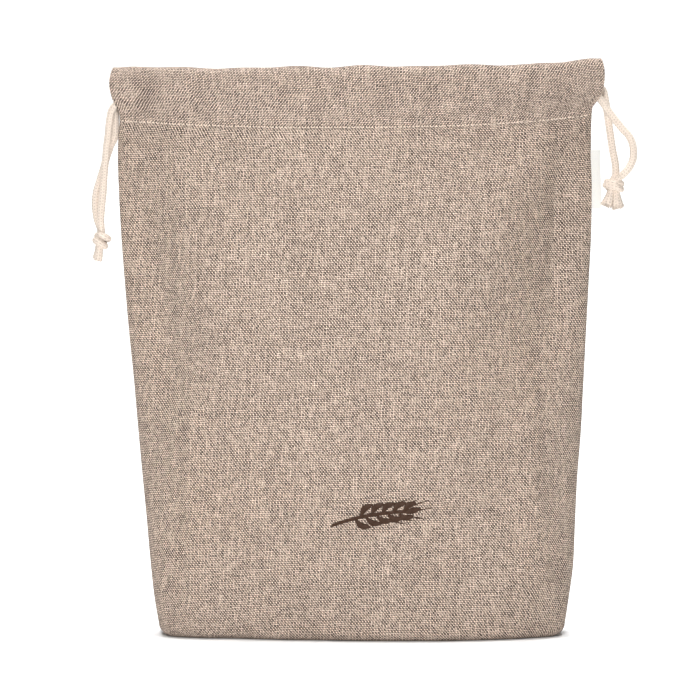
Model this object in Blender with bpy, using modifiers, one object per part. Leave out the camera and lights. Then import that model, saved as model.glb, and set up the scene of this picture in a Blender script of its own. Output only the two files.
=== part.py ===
"""Linen bread bag with two cotton drawstrings, standing open and empty.

The front and the back are one piece of cloth each.  A panel runs from the middle of the flat bottom
round the foot, up the wall, over the rim and down inside, where its turned hem makes the casing that
the cords run in.  The panels meet at the side seams and along the middle of the bottom.  Each cord
goes once round the mouth through both casings, and its two ends leave at one side and share a knot.

Units are metres, +Z is up, the front faces -Y, and the origin is the middle of the bottom.
"""

import math
from typing import NamedTuple

import bmesh
import bpy
import numpy as np
from mathutils import Matrix, Vector

OBJECT_NAME = "linen_bread_bag"

# Driving sizes
CLOTH = 0.0013             # thickness of the linen
TOUCH = 0.0003             # gap between pieces that touch
SEAM = TOUCH / 2           # a panel's edge stays this far off the seam plane, y = 0
FOOT_RADIUS = 0.008        # bend between the bottom and the wall
BOTTOM_CENTRE_RATIO = 0.72  # length of the bottom's middle seam against the width of the bottom
RIM_HEIGHT = 0.3693        # top fold, at the sides
CASING_HEIGHT = 0.0354     # from the rim down to the line that holds the hem
TUNNEL = 0.0062            # room for the cord between the wall and the hem
FOLD_RISE = 0.008          # height of the rounded top fold
HEM_SETBACK = 0.018        # the hem stops this far short of each side, where the cords turn
CORD_RADIUS = 0.0025
STRAND_GAP = 0.0018        # between a cord's hidden run and its free strand
LOW_CORD_DROP = 0.0235     # from the rim down to the left cord
HIGH_CORD_DROP = 0.0170    # from the rim down to the right cord

# Fineness of the solids
COLUMNS = 28
EDGE_CROWDING = 0.4        # share of the column spacing that crowds towards the side seams
CURVE_SAMPLES = 181
FOOT_STEPS = 3
BOTTOM_STEPS = 4
FOLD_STEPS = 4
TUBE_STEP = 0.0075         # spacing of a free strand's points
CASING_POINTS = 9          # points of a cord along one casing
TURN_POINTS = 5            # points of a cord between the casings


class Section(NamedTuple):
    """The front half of a level cut through the bag; the back half is its mirror image."""

    height: float    # where the cut is, at the side seams
    left: float      # x of the left edge
    right: float     # x of the right edge
    depth: float     # from the seam plane to the middle of the panel
    bow: float       # 2 gives an even curve, 3 a flat face with bent ends
    blunt: float     # 1 gives pointed ends, 0.5 round ones, 0.33 a squarish box
    parted: float    # how far the panel's ends stand off the seam plane
    sag: float       # how far the middle hangs below the ends
    tilt: float      # how far the right end is above the middle, and the left end below it


SECTIONS = [
    #       height    left     right    depth  bow  blunt  parted   sag     tilt
    Section(0.0000, -0.1276, 0.1328, 0.0425, 3.60, 0.290, SEAM, 0.0000, 0.0000),
    Section(0.0225, -0.1317, 0.1364, 0.0425, 3.50, 0.300, SEAM, 0.0000, 0.0000),
    Section(0.0480, -0.1346, 0.1397, 0.0427, 3.15, 0.335, SEAM, 0.0000, 0.0000),
    Section(0.0740, -0.1369, 0.1408, 0.0431, 2.85, 0.385, SEAM, 0.0000, 0.0000),
    Section(0.1000, -0.1394, 0.1420, 0.0433, 2.60, 0.435, SEAM, 0.0000, 0.0000),
    Section(0.1320, -0.1423, 0.1444, 0.0433, 2.40, 0.490, SEAM, 0.0000, 0.0000),
    Section(0.1650, -0.1451, 0.1460, 0.0430, 2.26, 0.545, SEAM, 0.0000, 0.0000),
    Section(0.1980, -0.1483, 0.1476, 0.0423, 2.16, 0.590, SEAM, 0.0004, 0.0000),
    Section(0.2300, -0.1509, 0.1492, 0.0408, 2.10, 0.625, SEAM, 0.0010, 0.0002),
    Section(0.2600, -0.1530, 0.1506, 0.0380, 2.06, 0.650, SEAM, 0.0020, 0.0006),
    Section(0.2880, -0.1544, 0.1510, 0.0336, 2.04, 0.660, SEAM, 0.0034, 0.0011),
    Section(0.3100, -0.1550, 0.1502, 0.0292, 2.03, 0.660, SEAM, 0.0048, 0.0015),
    Section(0.3250, -0.1546, 0.1503, 0.0257, 2.04, 0.640, SEAM, 0.0058, 0.0018),
    Section(0.3339, -0.1535, 0.1503, 0.0236, 2.10, 0.620, 0.0045, 0.0065, 0.0019),
    Section(0.3380, -0.1536, 0.1506, 0.0228, 2.15, 0.720, 0.0062, 0.0062, 0.0020),
    Section(0.3420, -0.1547, 0.1524, 0.0220, 2.20, 0.820, 0.0080, 0.0056, 0.0022),
    Section(0.3480, -0.1578, 0.1554, 0.0209, 2.20, 0.900, 0.0096, 0.0048, 0.0024),
    Section(0.3580, -0.1598, 0.1592, 0.0199, 2.20, 0.900, 0.0100, 0.0036, 0.0026),
    Section(0.3693, -0.1584, 0.1586, 0.0195, 2.20, 0.900, 0.0100, 0.0024, 0.0029),
]


class Fold(NamedTuple):
    """A soft ridge, or a trough where its height is negative, along a straight line on a panel."""

    x0: float
    z0: float
    x1: float
    z1: float
    width: float
    height: float


FRONT_FOLDS = [
    #     x0      z0      x1      z1     width   height
    Fold(0.118, 0.312, 0.060, 0.224, 0.022, 0.0042),     # upper right ridge
    Fold(0.130, 0.276, 0.108, 0.165, 0.026, -0.0056),    # hollow right of it
    Fold(-0.125, 0.286, -0.088, 0.200, 0.020, 0.0030),   # upper left ridge
    Fold(-0.134, 0.262, -0.122, 0.160, 0.022, -0.0042),  # hollow left of it
    Fold(-0.112, 0.135, -0.110, 0.020, 0.014, 0.0034),   # box corner on the left
    Fold(0.116, 0.165, 0.116, 0.040, 0.014, 0.0034),     # box corner on the right
    Fold(-0.086, 0.050, -0.076, 0.000, 0.034, -0.0060),  # dent above the bottom left
    Fold(0.034, 0.060, 0.040, 0.000, 0.046, 0.0022),     # swell above the bottom right
]

BACK_FOLDS = [
    Fold(-0.110, 0.305, -0.052, 0.215, 0.024, 0.0028),
    Fold(-0.128, 0.240, -0.110, 0.150, 0.026, -0.0036),
    Fold(0.120, 0.280, 0.074, 0.190, 0.024, 0.0024),
    Fold(0.020, 0.240, 0.034, 0.110, 0.030, -0.0030),
    Fold(0.108, 0.130, 0.110, 0.020, 0.014, 0.0022),
    Fold(-0.108, 0.140, -0.108, 0.020, 0.014, 0.0022),
    Fold(-0.030, 0.060, -0.030, 0.000, 0.050, 0.0022),
]

FOLD_FADE = 0.020          # folds die out this far from the side seams

# Room between the wall and the hem, down from the top fold: depth below the rim, room
HEM_ROWS = [
    (0.0170, TUNNEL),
    (0.0270, TUNNEL),
    (0.0320, 0.0030),
    (CASING_HEIGHT - 0.0006, TOUCH),
]

# Routes of the free strands, from the mouth of the casing to the knot
LEFT_FRONT_ROUTE = [
    (-0.1500, -0.0055, 0.3432), (-0.1540, -0.0051, 0.3430), (-0.1568, -0.0047, 0.3413),
    (-0.1586, -0.0044, 0.3384), (-0.1595, -0.0040, 0.3348), (-0.1601, -0.0038, 0.3310),
    (-0.1608, -0.0036, 0.3236), (-0.1618, -0.0035, 0.3162), (-0.1625, -0.0034, 0.3087),
    (-0.1633, -0.0033, 0.3013), (-0.1639, -0.0032, 0.2939), (-0.1643, -0.0031, 0.2865),
    (-0.1651, -0.0030, 0.2791), (-0.1658, -0.0029, 0.2717), (-0.1660, -0.0028, 0.2672),
    (-0.1657, -0.0028, 0.2636),
]
LEFT_BACK_ROUTE = [
    (-0.1500, 0.0054, 0.3432), (-0.1537, 0.0048, 0.3426), (-0.1558, 0.0044, 0.3404),
    (-0.1567, 0.0040, 0.3372), (-0.1567, 0.0038, 0.3310), (-0.1569, 0.0035, 0.3236),
    (-0.1579, 0.0033, 0.3199), (-0.1598, 0.0031, 0.3162), (-0.1611, 0.0030, 0.3124),
    (-0.1624, 0.0030, 0.3087), (-0.1645, 0.0029, 0.3013), (-0.1668, 0.0028, 0.2939),
    (-0.1690, 0.0026, 0.2865), (-0.1697, 0.0025, 0.2791), (-0.1692, 0.0026, 0.2717),
    (-0.1682, 0.0027, 0.2672), (-0.1670, 0.0027, 0.2636),
]
RIGHT_FRONT_ROUTE = [
    (0.1460, -0.0075, 0.3538), (0.1500, -0.0064, 0.3522), (0.1535, -0.0054, 0.3490),
    (0.1557, -0.0050, 0.3459), (0.1577, -0.0048, 0.3433), (0.1612, -0.0050, 0.3381),
    (0.1652, -0.0054, 0.3328), (0.1699, -0.0057, 0.3270), (0.1740, -0.0062, 0.3224),
    (0.1762, -0.0066, 0.3180), (0.1771, -0.0069, 0.3130), (0.1769, -0.0071, 0.3080),
    (0.1752, -0.0073, 0.3035), (0.1726, -0.0073, 0.2997), (0.1690, -0.0073, 0.2962),
]
RIGHT_BACK_ROUTE = [
    (0.1460, 0.0075, 0.3538), (0.1507, 0.0066, 0.3543), (0.1552, 0.0056, 0.3540),
    (0.1581, 0.0052, 0.3520), (0.1592, 0.0043, 0.3485), (0.1600, 0.0035, 0.3438),
    (0.1606, 0.0028, 0.3392), (0.1611, 0.0021, 0.3355), (0.1616, 0.0015, 0.3315),
    (0.1627, 0.0006, 0.3235), (0.1640, -0.0002, 0.3142), (0.1650, -0.0008, 0.3092),
    (0.1658, -0.0012, 0.3049), (0.1662, -0.0016, 0.3000), (0.1660, -0.0018, 0.2960),
]

# Label: a short blank tape caught in the right side seam
LABEL_TOP = 0.3132
LABEL_HEIGHT = 0.0375
LABEL_REACH = 0.0060
LABEL_THICKNESS = 0.0010
LABEL_WAVE = 0.0003


class Finish(NamedTuple):
    """Colour and roughness of a material."""

    name: str
    colour: tuple
    roughness: float


LINEN = Finish("natural_linen", (0.485, 0.376, 0.305), 0.95)
COTTON = Finish("cotton_cord", (0.83, 0.73, 0.62), 0.90)
TAPE = Finish("white_tape", (0.88, 0.87, 0.85), 0.80)


def clear_scene():
    """Remove every object that the new file came with."""
    for old in list(bpy.data.objects):
        bpy.data.objects.remove(old, do_unlink=True)


def make_material(finish):
    """Return the finish's Principled material, made on first use."""
    material = bpy.data.materials.get(finish.name)
    if material is None:
        material = bpy.data.materials.new(finish.name)
        material.use_nodes = True
        shader = material.node_tree.nodes["Principled BSDF"]
        shader.inputs["Base Color"].default_value = (*finish.colour, 1.0)
        shader.inputs["Roughness"].default_value = finish.roughness
        shader.inputs["Metallic"].default_value = 0.0
    return material


def section_value(name, height):
    """Read one column of the section table at any height."""
    heights = [section.height for section in SECTIONS]
    return float(np.interp(height, heights, [getattr(section, name) for section in SECTIONS]))


def fold_relief(x, height, folds):
    """Add up how far the folds push the cloth outwards at a place on the panel."""
    relief = 0.0
    for fold in folds:
        along = np.array([fold.x1 - fold.x0, fold.z1 - fold.z0])
        offset = np.array([x - fold.x0, height - fold.z0])
        share = np.clip(np.dot(offset, along) / np.dot(along, along), 0.0, 1.0)
        distance = np.linalg.norm(offset - share * along)
        relief += fold.height * math.exp(-((distance / fold.width) ** 2))
    return relief


def tilt_share(side):
    """Share of the tilt at a place across: even towards the left end, and late towards the right one."""
    turn = min(max((side + 0.35) / 0.70, 0.0), 1.0)
    turn = turn * turn * (3 - 2 * turn)
    return side * (1 - turn) + max(side, 0.0) ** 5 * turn


def panel_row(height, inset, folds, fractions, section_height=None):
    """Points of a panel's skin along one level line, from the left side to the right.

    Args:
        height: height of the line at the side seams.
        inset: how far the skin lies inside the outer face.
        folds: the panel's folds.
        fractions: places along the line, 0 at the left end and 1 at the right.
        section_height: height of the cut that gives the line's shape, where it is another one.

    Returns:
        A list of (x, depth, z), with the depth counted from the seam plane.
    """
    cut = height if section_height is None else section_height
    left, right = section_value("left", cut), section_value("right", cut)
    depth, parted = section_value("depth", cut), section_value("parted", cut)
    middle, half = (left + right) / 2, (right - left) / 2
    across = -np.cos(np.linspace(0.0, math.pi, CURVE_SAMPLES))
    swell = np.clip(1 - np.abs(across) ** section_value("bow", cut), 0, 1)
    x = middle + half * across
    y = parted + (depth - parted) * swell ** section_value("blunt", cut)
    slope_x, slope_y = np.gradient(x), np.gradient(y)
    length = np.hypot(slope_x, slope_y)
    normal_x, normal_y = -slope_y / length, slope_x / length
    travelled = np.concatenate([[0.0], np.cumsum(np.hypot(np.diff(x), np.diff(y)))])
    travelled /= travelled[-1]
    row = []
    for fraction in fractions:
        px, py, nx, ny = (float(np.interp(fraction, travelled, curve))
                          for curve in (x, y, normal_x, normal_y))
        side = (px - middle) / half
        fade = min(1.0, half * (1 - abs(side)) / FOLD_FADE)
        push = fade * fold_relief(px, cut, folds) - inset
        rise = (section_value("tilt", height) * tilt_share(side)
                - section_value("sag", height) * (1 - side**2))
        row.append((px + nx * push, max(py + ny * push, SEAM), height + rise))
    return row


def column_fractions(setback=0.0):
    """Places of the panel's columns along a line, closer together near the side seams."""
    even = np.linspace(0.0, 1.0, COLUMNS + 1)
    crowded = (1 - np.cos(math.pi * even)) / 2
    places = (1 - EDGE_CROWDING) * even + EDGE_CROWDING * crowded
    margin = setback / (SECTIONS[-1].right - SECTIONS[-1].left)
    return margin + (1 - 2 * margin) * places


def shrink_row(row, share, height):
    """Draw a level line in towards the bottom's middle seam, all the way where share is 1."""
    middle = (row[0][0] + row[-1][0]) / 2
    narrowing = 1 - (1 - BOTTOM_CENTRE_RATIO) * share
    return [(middle + (x - middle) * narrowing, SEAM + (y - SEAM) * (1 - share), height)
            for x, y, _ in row]


def panel_skins(folds):
    """Rows of the panel's two skins, from the middle of the bottom to the end of the hem.

    Returns:
        Two lists of rows: the skin that is outside on the wall, and the one a cloth's thickness away.
    """
    outer, inner = [], []
    full = column_fractions()
    foot = panel_row(FOOT_RADIUS, FOOT_RADIUS, folds, full)
    for step in range(BOTTOM_STEPS, 0, -1):
        outer.append(shrink_row(foot, step / BOTTOM_STEPS, 0.0))
        inner.append(shrink_row(foot, step / BOTTOM_STEPS, CLOTH))
    for step in range(FOOT_STEPS):
        angle = math.pi / 2 * step / FOOT_STEPS
        for rows, radius in ((outer, FOOT_RADIUS), (inner, FOOT_RADIUS - CLOTH)):
            height = FOOT_RADIUS - radius * math.cos(angle)
            inset = FOOT_RADIUS - radius * math.sin(angle)
            rows.append(panel_row(height, inset, folds, full, section_height=FOOT_RADIUS))
    shoulder = RIM_HEIGHT - FOLD_RISE
    walls = [FOOT_RADIUS] + [section.height for section in SECTIONS if
                             FOOT_RADIUS < section.height < shoulder]
    for height in walls:
        outer.append(panel_row(height, 0.0, folds, full))
        inner.append(panel_row(height, CLOTH, folds, full))
    half = CLOTH + TUNNEL / 2
    for step in range(FOLD_STEPS + 1):
        angle = math.pi * step / FOLD_STEPS
        setback = HEM_SETBACK * max(0.0, 2 * step / FOLD_STEPS - 1)
        places = column_fractions(setback)
        for rows, thinner in ((outer, 0.0), (inner, CLOTH)):
            height = shoulder + (FOLD_RISE - thinner) * math.sin(angle)
            inset = half - (half - thinner) * math.cos(angle)
            rows.append(panel_row(height, inset, folds, places))
    hem = column_fractions(HEM_SETBACK)
    for drop, room in HEM_ROWS:
        outer.append(panel_row(RIM_HEIGHT - drop, CLOTH + room + CLOTH, folds, hem))
        inner.append(panel_row(RIM_HEIGHT - drop, CLOTH + room, folds, hem))
    return outer, inner


def make_panel(name, folds, facing, collection):
    """Build one panel as a closed loft between its two skins.

    Args:
        name: the object's name.
        folds: the panel's folds.
        facing: -1 for the front, +1 for the back.
        collection: where the object goes.
    """
    outer, inner = panel_skins(folds)
    mesh = bmesh.new()
    grids = [[[mesh.verts.new((x, facing * y, z)) for x, y, z in row] for row in rows]
             for rows in (outer, inner)]
    first, second = grids
    last_row, last_column = len(first) - 1, COLUMNS
    for grid in grids:
        for row in range(last_row):
            for column in range(last_column):
                mesh.faces.new((grid[row][column], grid[row][column + 1],
                                grid[row + 1][column + 1], grid[row + 1][column]))
    for row in (0, last_row):
        for column in range(last_column):
            mesh.faces.new((first[row][column], first[row][column + 1],
                            second[row][column + 1], second[row][column]))
    for column in (0, last_column):
        for row in range(last_row):
            mesh.faces.new((first[row][column], first[row + 1][column],
                            second[row + 1][column], second[row][column]))
    bmesh.ops.recalc_face_normals(mesh, faces=mesh.faces)
    panel = add_mesh(name, mesh, LINEN, collection)
    panel.data.shade_smooth()
    panel.data.set_sharp_from_angle(angle=math.radians(50))
    return panel


def add_mesh(name, mesh, finish, collection):
    """Turn a bmesh into an object with its material, in the given collection."""
    data = bpy.data.meshes.new(name)
    mesh.to_mesh(data)
    mesh.free()
    piece = bpy.data.objects.new(name, data)
    piece.data.materials.append(make_material(finish))
    collection.objects.link(piece)
    return piece


def smooth_points(route, spacing):
    """Read evenly spaced points from a smooth curve through the route's own points."""
    knots = [Vector(point) for point in route]
    ends = [knots[0] * 2 - knots[1]] + knots + [knots[-1] * 2 - knots[-2]]
    dense = []
    for before, start, end, after in zip(ends, ends[1:], ends[2:], ends[3:]):
        for step in range(12):
            t = step / 12
            dense.append(0.5 * (2 * start + (end - before) * t
                                + (2 * before - 5 * start + 4 * end - after) * t**2
                                + (3 * start - before - 3 * end + after) * t**3))
    dense.append(knots[-1])
    travelled = np.concatenate([[0.0], np.cumsum([(b - a).length for a, b in zip(dense, dense[1:])])])
    wanted = np.linspace(0.0, travelled[-1], max(2, round(travelled[-1] / spacing)) + 1)
    return [tuple(float(np.interp(place, travelled, [point[axis] for point in dense]))
                  for axis in range(3)) for place in wanted]


def make_tube(name, points, resolution, collection):
    """Build a round cord along a line of points."""
    data = bpy.data.curves.new(name, "CURVE")
    data.dimensions = "3D"
    data.bevel_depth = CORD_RADIUS
    data.bevel_resolution = resolution
    data.use_fill_caps = True
    spline = data.splines.new("POLY")
    spline.points.add(len(points) - 1)
    for target, point in zip(spline.points, points):
        target.co = (*point, 1.0)
    data.materials.append(make_material(COTTON))
    cord = bpy.data.objects.new(name, data)
    collection.objects.link(cord)
    return cord


def casing_points(drop, x_start, x_end, folds, facing):
    """Middle line of a cord inside one casing, between two places on the x axis."""
    line = panel_row(RIM_HEIGHT - drop, CLOTH + TUNNEL / 2, folds, column_fractions())
    xs, ys, zs = zip(*line)
    return [(x, facing * float(np.interp(x, xs, ys)), float(np.interp(x, xs, zs)))
            for x in np.linspace(x_start, x_end, CASING_POINTS)]


def make_hidden_run(name, drop, exit_x, collection):
    """Build the part of a cord that lies inside the casings, from one side once round the mouth.

    Args:
        name: the object's name.
        drop: how far below the rim the cord runs.
        exit_x: where the cord's two strands leave the casings.
        collection: where the object goes.
    """
    away = -math.copysign(1.0, exit_x)
    turn_x = away * (SECTIONS[-1].right - HEM_SETBACK)
    outward = casing_points(drop, exit_x, turn_x, FRONT_FOLDS, -1)
    homeward = casing_points(drop, turn_x, exit_x, BACK_FOLDS, 1)
    start, end = Vector(outward[-1]), Vector(homeward[0])
    centre = (start + end) / 2
    radius = (end - start).length / 2
    turn = []
    for step in range(1, TURN_POINTS + 1):
        angle = math.pi * step / (TURN_POINTS + 1)
        side = (end - start) / 2 * -math.cos(angle)
        turn.append(tuple(centre + side + Vector((away * radius * math.sin(angle), 0, 0))))
    make_tube(name, outward + turn + homeward, 2, collection)


def make_knot(name, centre, radii, tilt, tails, collection):
    """Build a knot as a squashed ball joined to its short tails.

    Args:
        name: the object's name.
        centre: middle of the knot.
        radii: half of its width, depth and height.
        tilt: angle in degrees by which its right end drops.
        tails: (top, bottom, top radius, bottom radius, flatness) of each tail.
        collection: where the object goes.
    """
    ball = bmesh.new()
    bmesh.ops.create_uvsphere(ball, u_segments=14, v_segments=9, radius=1.0)
    turn = Matrix.Translation(centre) @ Matrix.Rotation(math.radians(tilt), 4, "Y")
    bmesh.ops.transform(ball, matrix=turn @ Matrix.Diagonal((*radii, 1.0)), verts=ball.verts)
    knot = add_mesh(name, ball, COTTON, collection)
    for number, (top, bottom, top_radius, bottom_radius, flatness) in enumerate(tails):
        along = Vector(bottom) - Vector(top)
        cone = bmesh.new()
        bmesh.ops.create_cone(cone, cap_ends=True, segments=12, radius1=bottom_radius,
                              radius2=top_radius, depth=along.length)
        place = Matrix.Translation((Vector(top) + Vector(bottom)) / 2)
        aim = Vector((0, 0, -1)).rotation_difference(along).to_matrix().to_4x4()
        matrix = place @ aim @ Matrix.Diagonal((1, flatness, 1, 1))
        bmesh.ops.transform(cone, matrix=matrix, verts=cone.verts)
        cutter = add_mesh(f"{name}_tail_{number}", cone, COTTON, cutters_collection())
        cutter.hide_render = True
        cutter.display_type = "WIRE"
        union = knot.modifiers.new(f"tail_{number}", "BOOLEAN")
        union.operation = "UNION"
        union.object = cutter
    return knot


def make_label(collection):
    """Build the blank tape at the right side seam, a little wavy along its height."""
    sheet = bmesh.new()
    bmesh.ops.create_grid(sheet, x_segments=2, y_segments=6, size=0.5)
    inner_edge = max(section_value("right", LABEL_TOP), section_value("right", LABEL_TOP - LABEL_HEIGHT))
    for vertex in sheet.verts:
        across, down = vertex.co.x + 0.5, 0.5 - vertex.co.y
        wave = LABEL_WAVE * math.sin(2 * math.pi * down) * across
        vertex.co = (inner_edge + 2 * TOUCH + across * LABEL_REACH, wave, LABEL_TOP - down * LABEL_HEIGHT)
    label = add_mesh("side_label", sheet, TAPE, collection)
    solidify = label.modifiers.new("thickness", "SOLIDIFY")
    solidify.thickness = LABEL_THICKNESS
    solidify.offset = 0.0
    return label


def cutters_collection():
    """Return the collection for the shapes that others are cut by or joined to."""
    name = "cutters"
    collection = bpy.data.collections.get(name)
    if collection is None:
        collection = bpy.data.collections.new(name)
        bpy.context.scene.collection.children.link(collection)
    return collection


def build():
    """Build the whole bag."""
    clear_scene()
    collection = bpy.data.collections.new(OBJECT_NAME)
    bpy.context.scene.collection.children.link(collection)
    make_panel("front_panel", FRONT_FOLDS, -1, collection)
    make_panel("back_panel", BACK_FOLDS, 1, collection)
    make_hidden_run("left_cord_run", LOW_CORD_DROP, LEFT_FRONT_ROUTE[0][0] + STRAND_GAP, collection)
    make_hidden_run("right_cord_run", HIGH_CORD_DROP, RIGHT_FRONT_ROUTE[0][0] - STRAND_GAP, collection)
    strands = {
        "left_strand_front": LEFT_FRONT_ROUTE,
        "left_strand_back": LEFT_BACK_ROUTE,
        "right_strand_front": RIGHT_FRONT_ROUTE,
        "right_strand_back": RIGHT_BACK_ROUTE,
    }
    for name, route in strands.items():
        make_tube(name, smooth_points(route, TUBE_STEP), 3, collection)
    make_knot("left_knot", Vector((-0.1658, -0.0001, 0.2553)), (0.0058, 0.0056, 0.0068), 0.0,
              [((-0.1666, -0.0001, 0.2520), (-0.1685, -0.0001, 0.2402), 0.0034, 0.0038, 1.2)],
              collection)
    make_knot("right_knot", Vector((0.1646, -0.0045, 0.2898)), (0.0075, 0.0056, 0.0049), 11.0,
              [((0.1622, -0.0046, 0.2880), (0.1600, -0.0046, 0.2762), 0.0029, 0.0040, 0.72),
               ((0.1665, -0.0046, 0.2870), (0.1673, -0.0046, 0.2742), 0.0029, 0.0040, 0.72)],
              collection)
    make_label(collection)


build()
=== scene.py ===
"""Linen bread bag: the detailed cloth, cords, label and embroidery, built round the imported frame.

Both panels are closed cloth shells that follow the frame's own table of sections, with finer folds,
casing wrinkles and puckers along the line of stitches.  The cords are braided meshes along the
frame's routes.  Units are metres, +Z is up and the front faces -Y.
"""

from __future__ import annotations

import logging
import math
from dataclasses import dataclass, field
from enum import Enum
from typing import Callable, Sequence

import bpy
import numpy as np
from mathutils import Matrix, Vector

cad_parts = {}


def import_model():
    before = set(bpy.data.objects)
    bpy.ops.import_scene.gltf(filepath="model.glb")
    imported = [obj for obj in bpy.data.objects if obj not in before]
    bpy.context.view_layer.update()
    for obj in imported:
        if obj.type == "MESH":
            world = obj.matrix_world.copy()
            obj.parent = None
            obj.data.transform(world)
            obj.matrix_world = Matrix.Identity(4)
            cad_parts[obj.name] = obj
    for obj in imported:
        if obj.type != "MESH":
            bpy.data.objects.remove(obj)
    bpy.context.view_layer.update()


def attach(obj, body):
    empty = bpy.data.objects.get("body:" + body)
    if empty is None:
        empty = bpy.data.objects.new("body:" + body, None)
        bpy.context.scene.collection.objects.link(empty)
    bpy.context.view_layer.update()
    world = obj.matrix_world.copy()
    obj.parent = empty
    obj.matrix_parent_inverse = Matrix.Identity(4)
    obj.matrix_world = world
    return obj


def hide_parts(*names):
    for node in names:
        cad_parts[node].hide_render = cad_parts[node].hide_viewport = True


log = logging.getLogger("bread_bag")

BODY = "root"
CLOTH_MAP = "cloth_metres"       # UV map that holds places on the flat cloth, in metres
BRAID_MAP = "braid_metres"       # UV map that holds places round and along a cord, in metres
PAINTED_SHADE_AND_TONE = "hollow"                # vertex attribute: painted shade, 1 at the bottom of a groove; on loose yarns, a random darker tone

# Sizes shared with the part
CLOTH = 0.0013
TOUCH = 0.0003
SEAM = TOUCH / 2
FOOT_RADIUS = 0.008
BOTTOM_CENTRE_RATIO = 0.72
RIM_HEIGHT = 0.3693
CASING_HEIGHT = 0.0354
TUNNEL = 0.0062
FOLD_RISE = 0.008
HEM_SETBACK = 0.018
CORD_RADIUS = 0.0025
STRAND_GAP = 0.0018
LOW_CORD_DROP = 0.0235
HIGH_CORD_DROP = 0.0170
FOLD_FADE = 0.020
STITCH_LINE = RIM_HEIGHT - CASING_HEIGHT
CLOTH_WIDTH = 0.322              # one panel between its side seams, flat
FALL_END = 0.285                 # height where the cloth stops falling back at its sides


@dataclass(frozen=True)
class Section:
    """The front half of a level cut through the bag; the back half is its mirror image."""

    height: float
    left: float
    right: float
    depth: float
    bow: float
    blunt: float
    parted: float
    sag: float
    tilt: float


SECTIONS = (
    Section(0.0000, -0.1276, 0.1328, 0.0425, 3.60, 0.290, SEAM, 0.0000, 0.0000),
    Section(0.0225, -0.1317, 0.1364, 0.0425, 3.50, 0.300, SEAM, 0.0000, 0.0000),
    Section(0.0480, -0.1346, 0.1397, 0.0427, 3.15, 0.335, SEAM, 0.0000, 0.0000),
    Section(0.0740, -0.1369, 0.1408, 0.0431, 2.85, 0.385, SEAM, 0.0000, 0.0000),
    Section(0.1000, -0.1394, 0.1420, 0.0433, 2.60, 0.435, SEAM, 0.0000, 0.0000),
    Section(0.1320, -0.1423, 0.1444, 0.0433, 2.40, 0.490, SEAM, 0.0000, 0.0000),
    Section(0.1650, -0.1451, 0.1460, 0.0430, 2.26, 0.545, SEAM, 0.0000, 0.0000),
    Section(0.1980, -0.1483, 0.1476, 0.0423, 2.16, 0.590, SEAM, 0.0004, 0.0000),
    Section(0.2300, -0.1509, 0.1492, 0.0408, 2.10, 0.625, SEAM, 0.0010, 0.0002),
    Section(0.2600, -0.1530, 0.1506, 0.0380, 2.06, 0.650, SEAM, 0.0020, 0.0006),
    Section(0.2880, -0.1544, 0.1510, 0.0336, 2.04, 0.660, SEAM, 0.0034, 0.0011),
    Section(0.3100, -0.1550, 0.1502, 0.0292, 2.03, 0.660, SEAM, 0.0048, 0.0015),
    Section(0.3250, -0.1546, 0.1503, 0.0257, 2.04, 0.640, SEAM, 0.0058, 0.0018),
    Section(0.3339, -0.1535, 0.1503, 0.0236, 2.10, 0.620, 0.0045, 0.0065, 0.0019),
    Section(0.3380, -0.1536, 0.1506, 0.0228, 2.15, 0.720, 0.0062, 0.0062, 0.0020),
    Section(0.3420, -0.1547, 0.1533, 0.0220, 2.20, 0.820, 0.0080, 0.0056, 0.0022),
    Section(0.3480, -0.1578, 0.1569, 0.0209, 2.20, 0.900, 0.0096, 0.0048, 0.0024),
    Section(0.3580, -0.1598, 0.1583, 0.0199, 2.20, 0.900, 0.0100, 0.0036, 0.0026),
    Section(0.3693, -0.1584, 0.1574, 0.0195, 2.20, 0.900, 0.0100, 0.0024, 0.0029),
)


@dataclass(frozen=True)
class Fold:
    """A soft ridge, or a trough where its height is negative, along a straight line on a panel."""

    x0: float
    z0: float
    x1: float
    z1: float
    width: float
    height: float


FRONT_FOLDS = (
    Fold(0.118, 0.312, 0.060, 0.224, 0.022, 0.0042),
    Fold(0.130, 0.276, 0.108, 0.165, 0.026, -0.0056),
    Fold(-0.125, 0.286, -0.088, 0.200, 0.020, 0.0030),
    Fold(-0.134, 0.262, -0.122, 0.160, 0.022, -0.0042),
    Fold(-0.112, 0.135, -0.110, 0.020, 0.014, 0.0034),
    Fold(0.116, 0.165, 0.116, 0.040, 0.014, 0.0034),
    Fold(-0.086, 0.050, -0.076, 0.000, 0.034, -0.0060),
    Fold(0.034, 0.060, 0.040, 0.000, 0.046, 0.0022),
)
BACK_FOLDS = (
    Fold(-0.110, 0.305, -0.052, 0.215, 0.024, 0.0028),
    Fold(-0.128, 0.240, -0.110, 0.150, 0.026, -0.0036),
    Fold(0.120, 0.280, 0.074, 0.190, 0.024, 0.0024),
    Fold(0.020, 0.240, 0.034, 0.110, 0.030, -0.0030),
    Fold(0.108, 0.130, 0.110, 0.020, 0.014, 0.0022),
    Fold(-0.108, 0.140, -0.108, 0.020, 0.014, 0.0022),
    Fold(-0.030, 0.060, -0.030, 0.000, 0.050, 0.0022),
)

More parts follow.
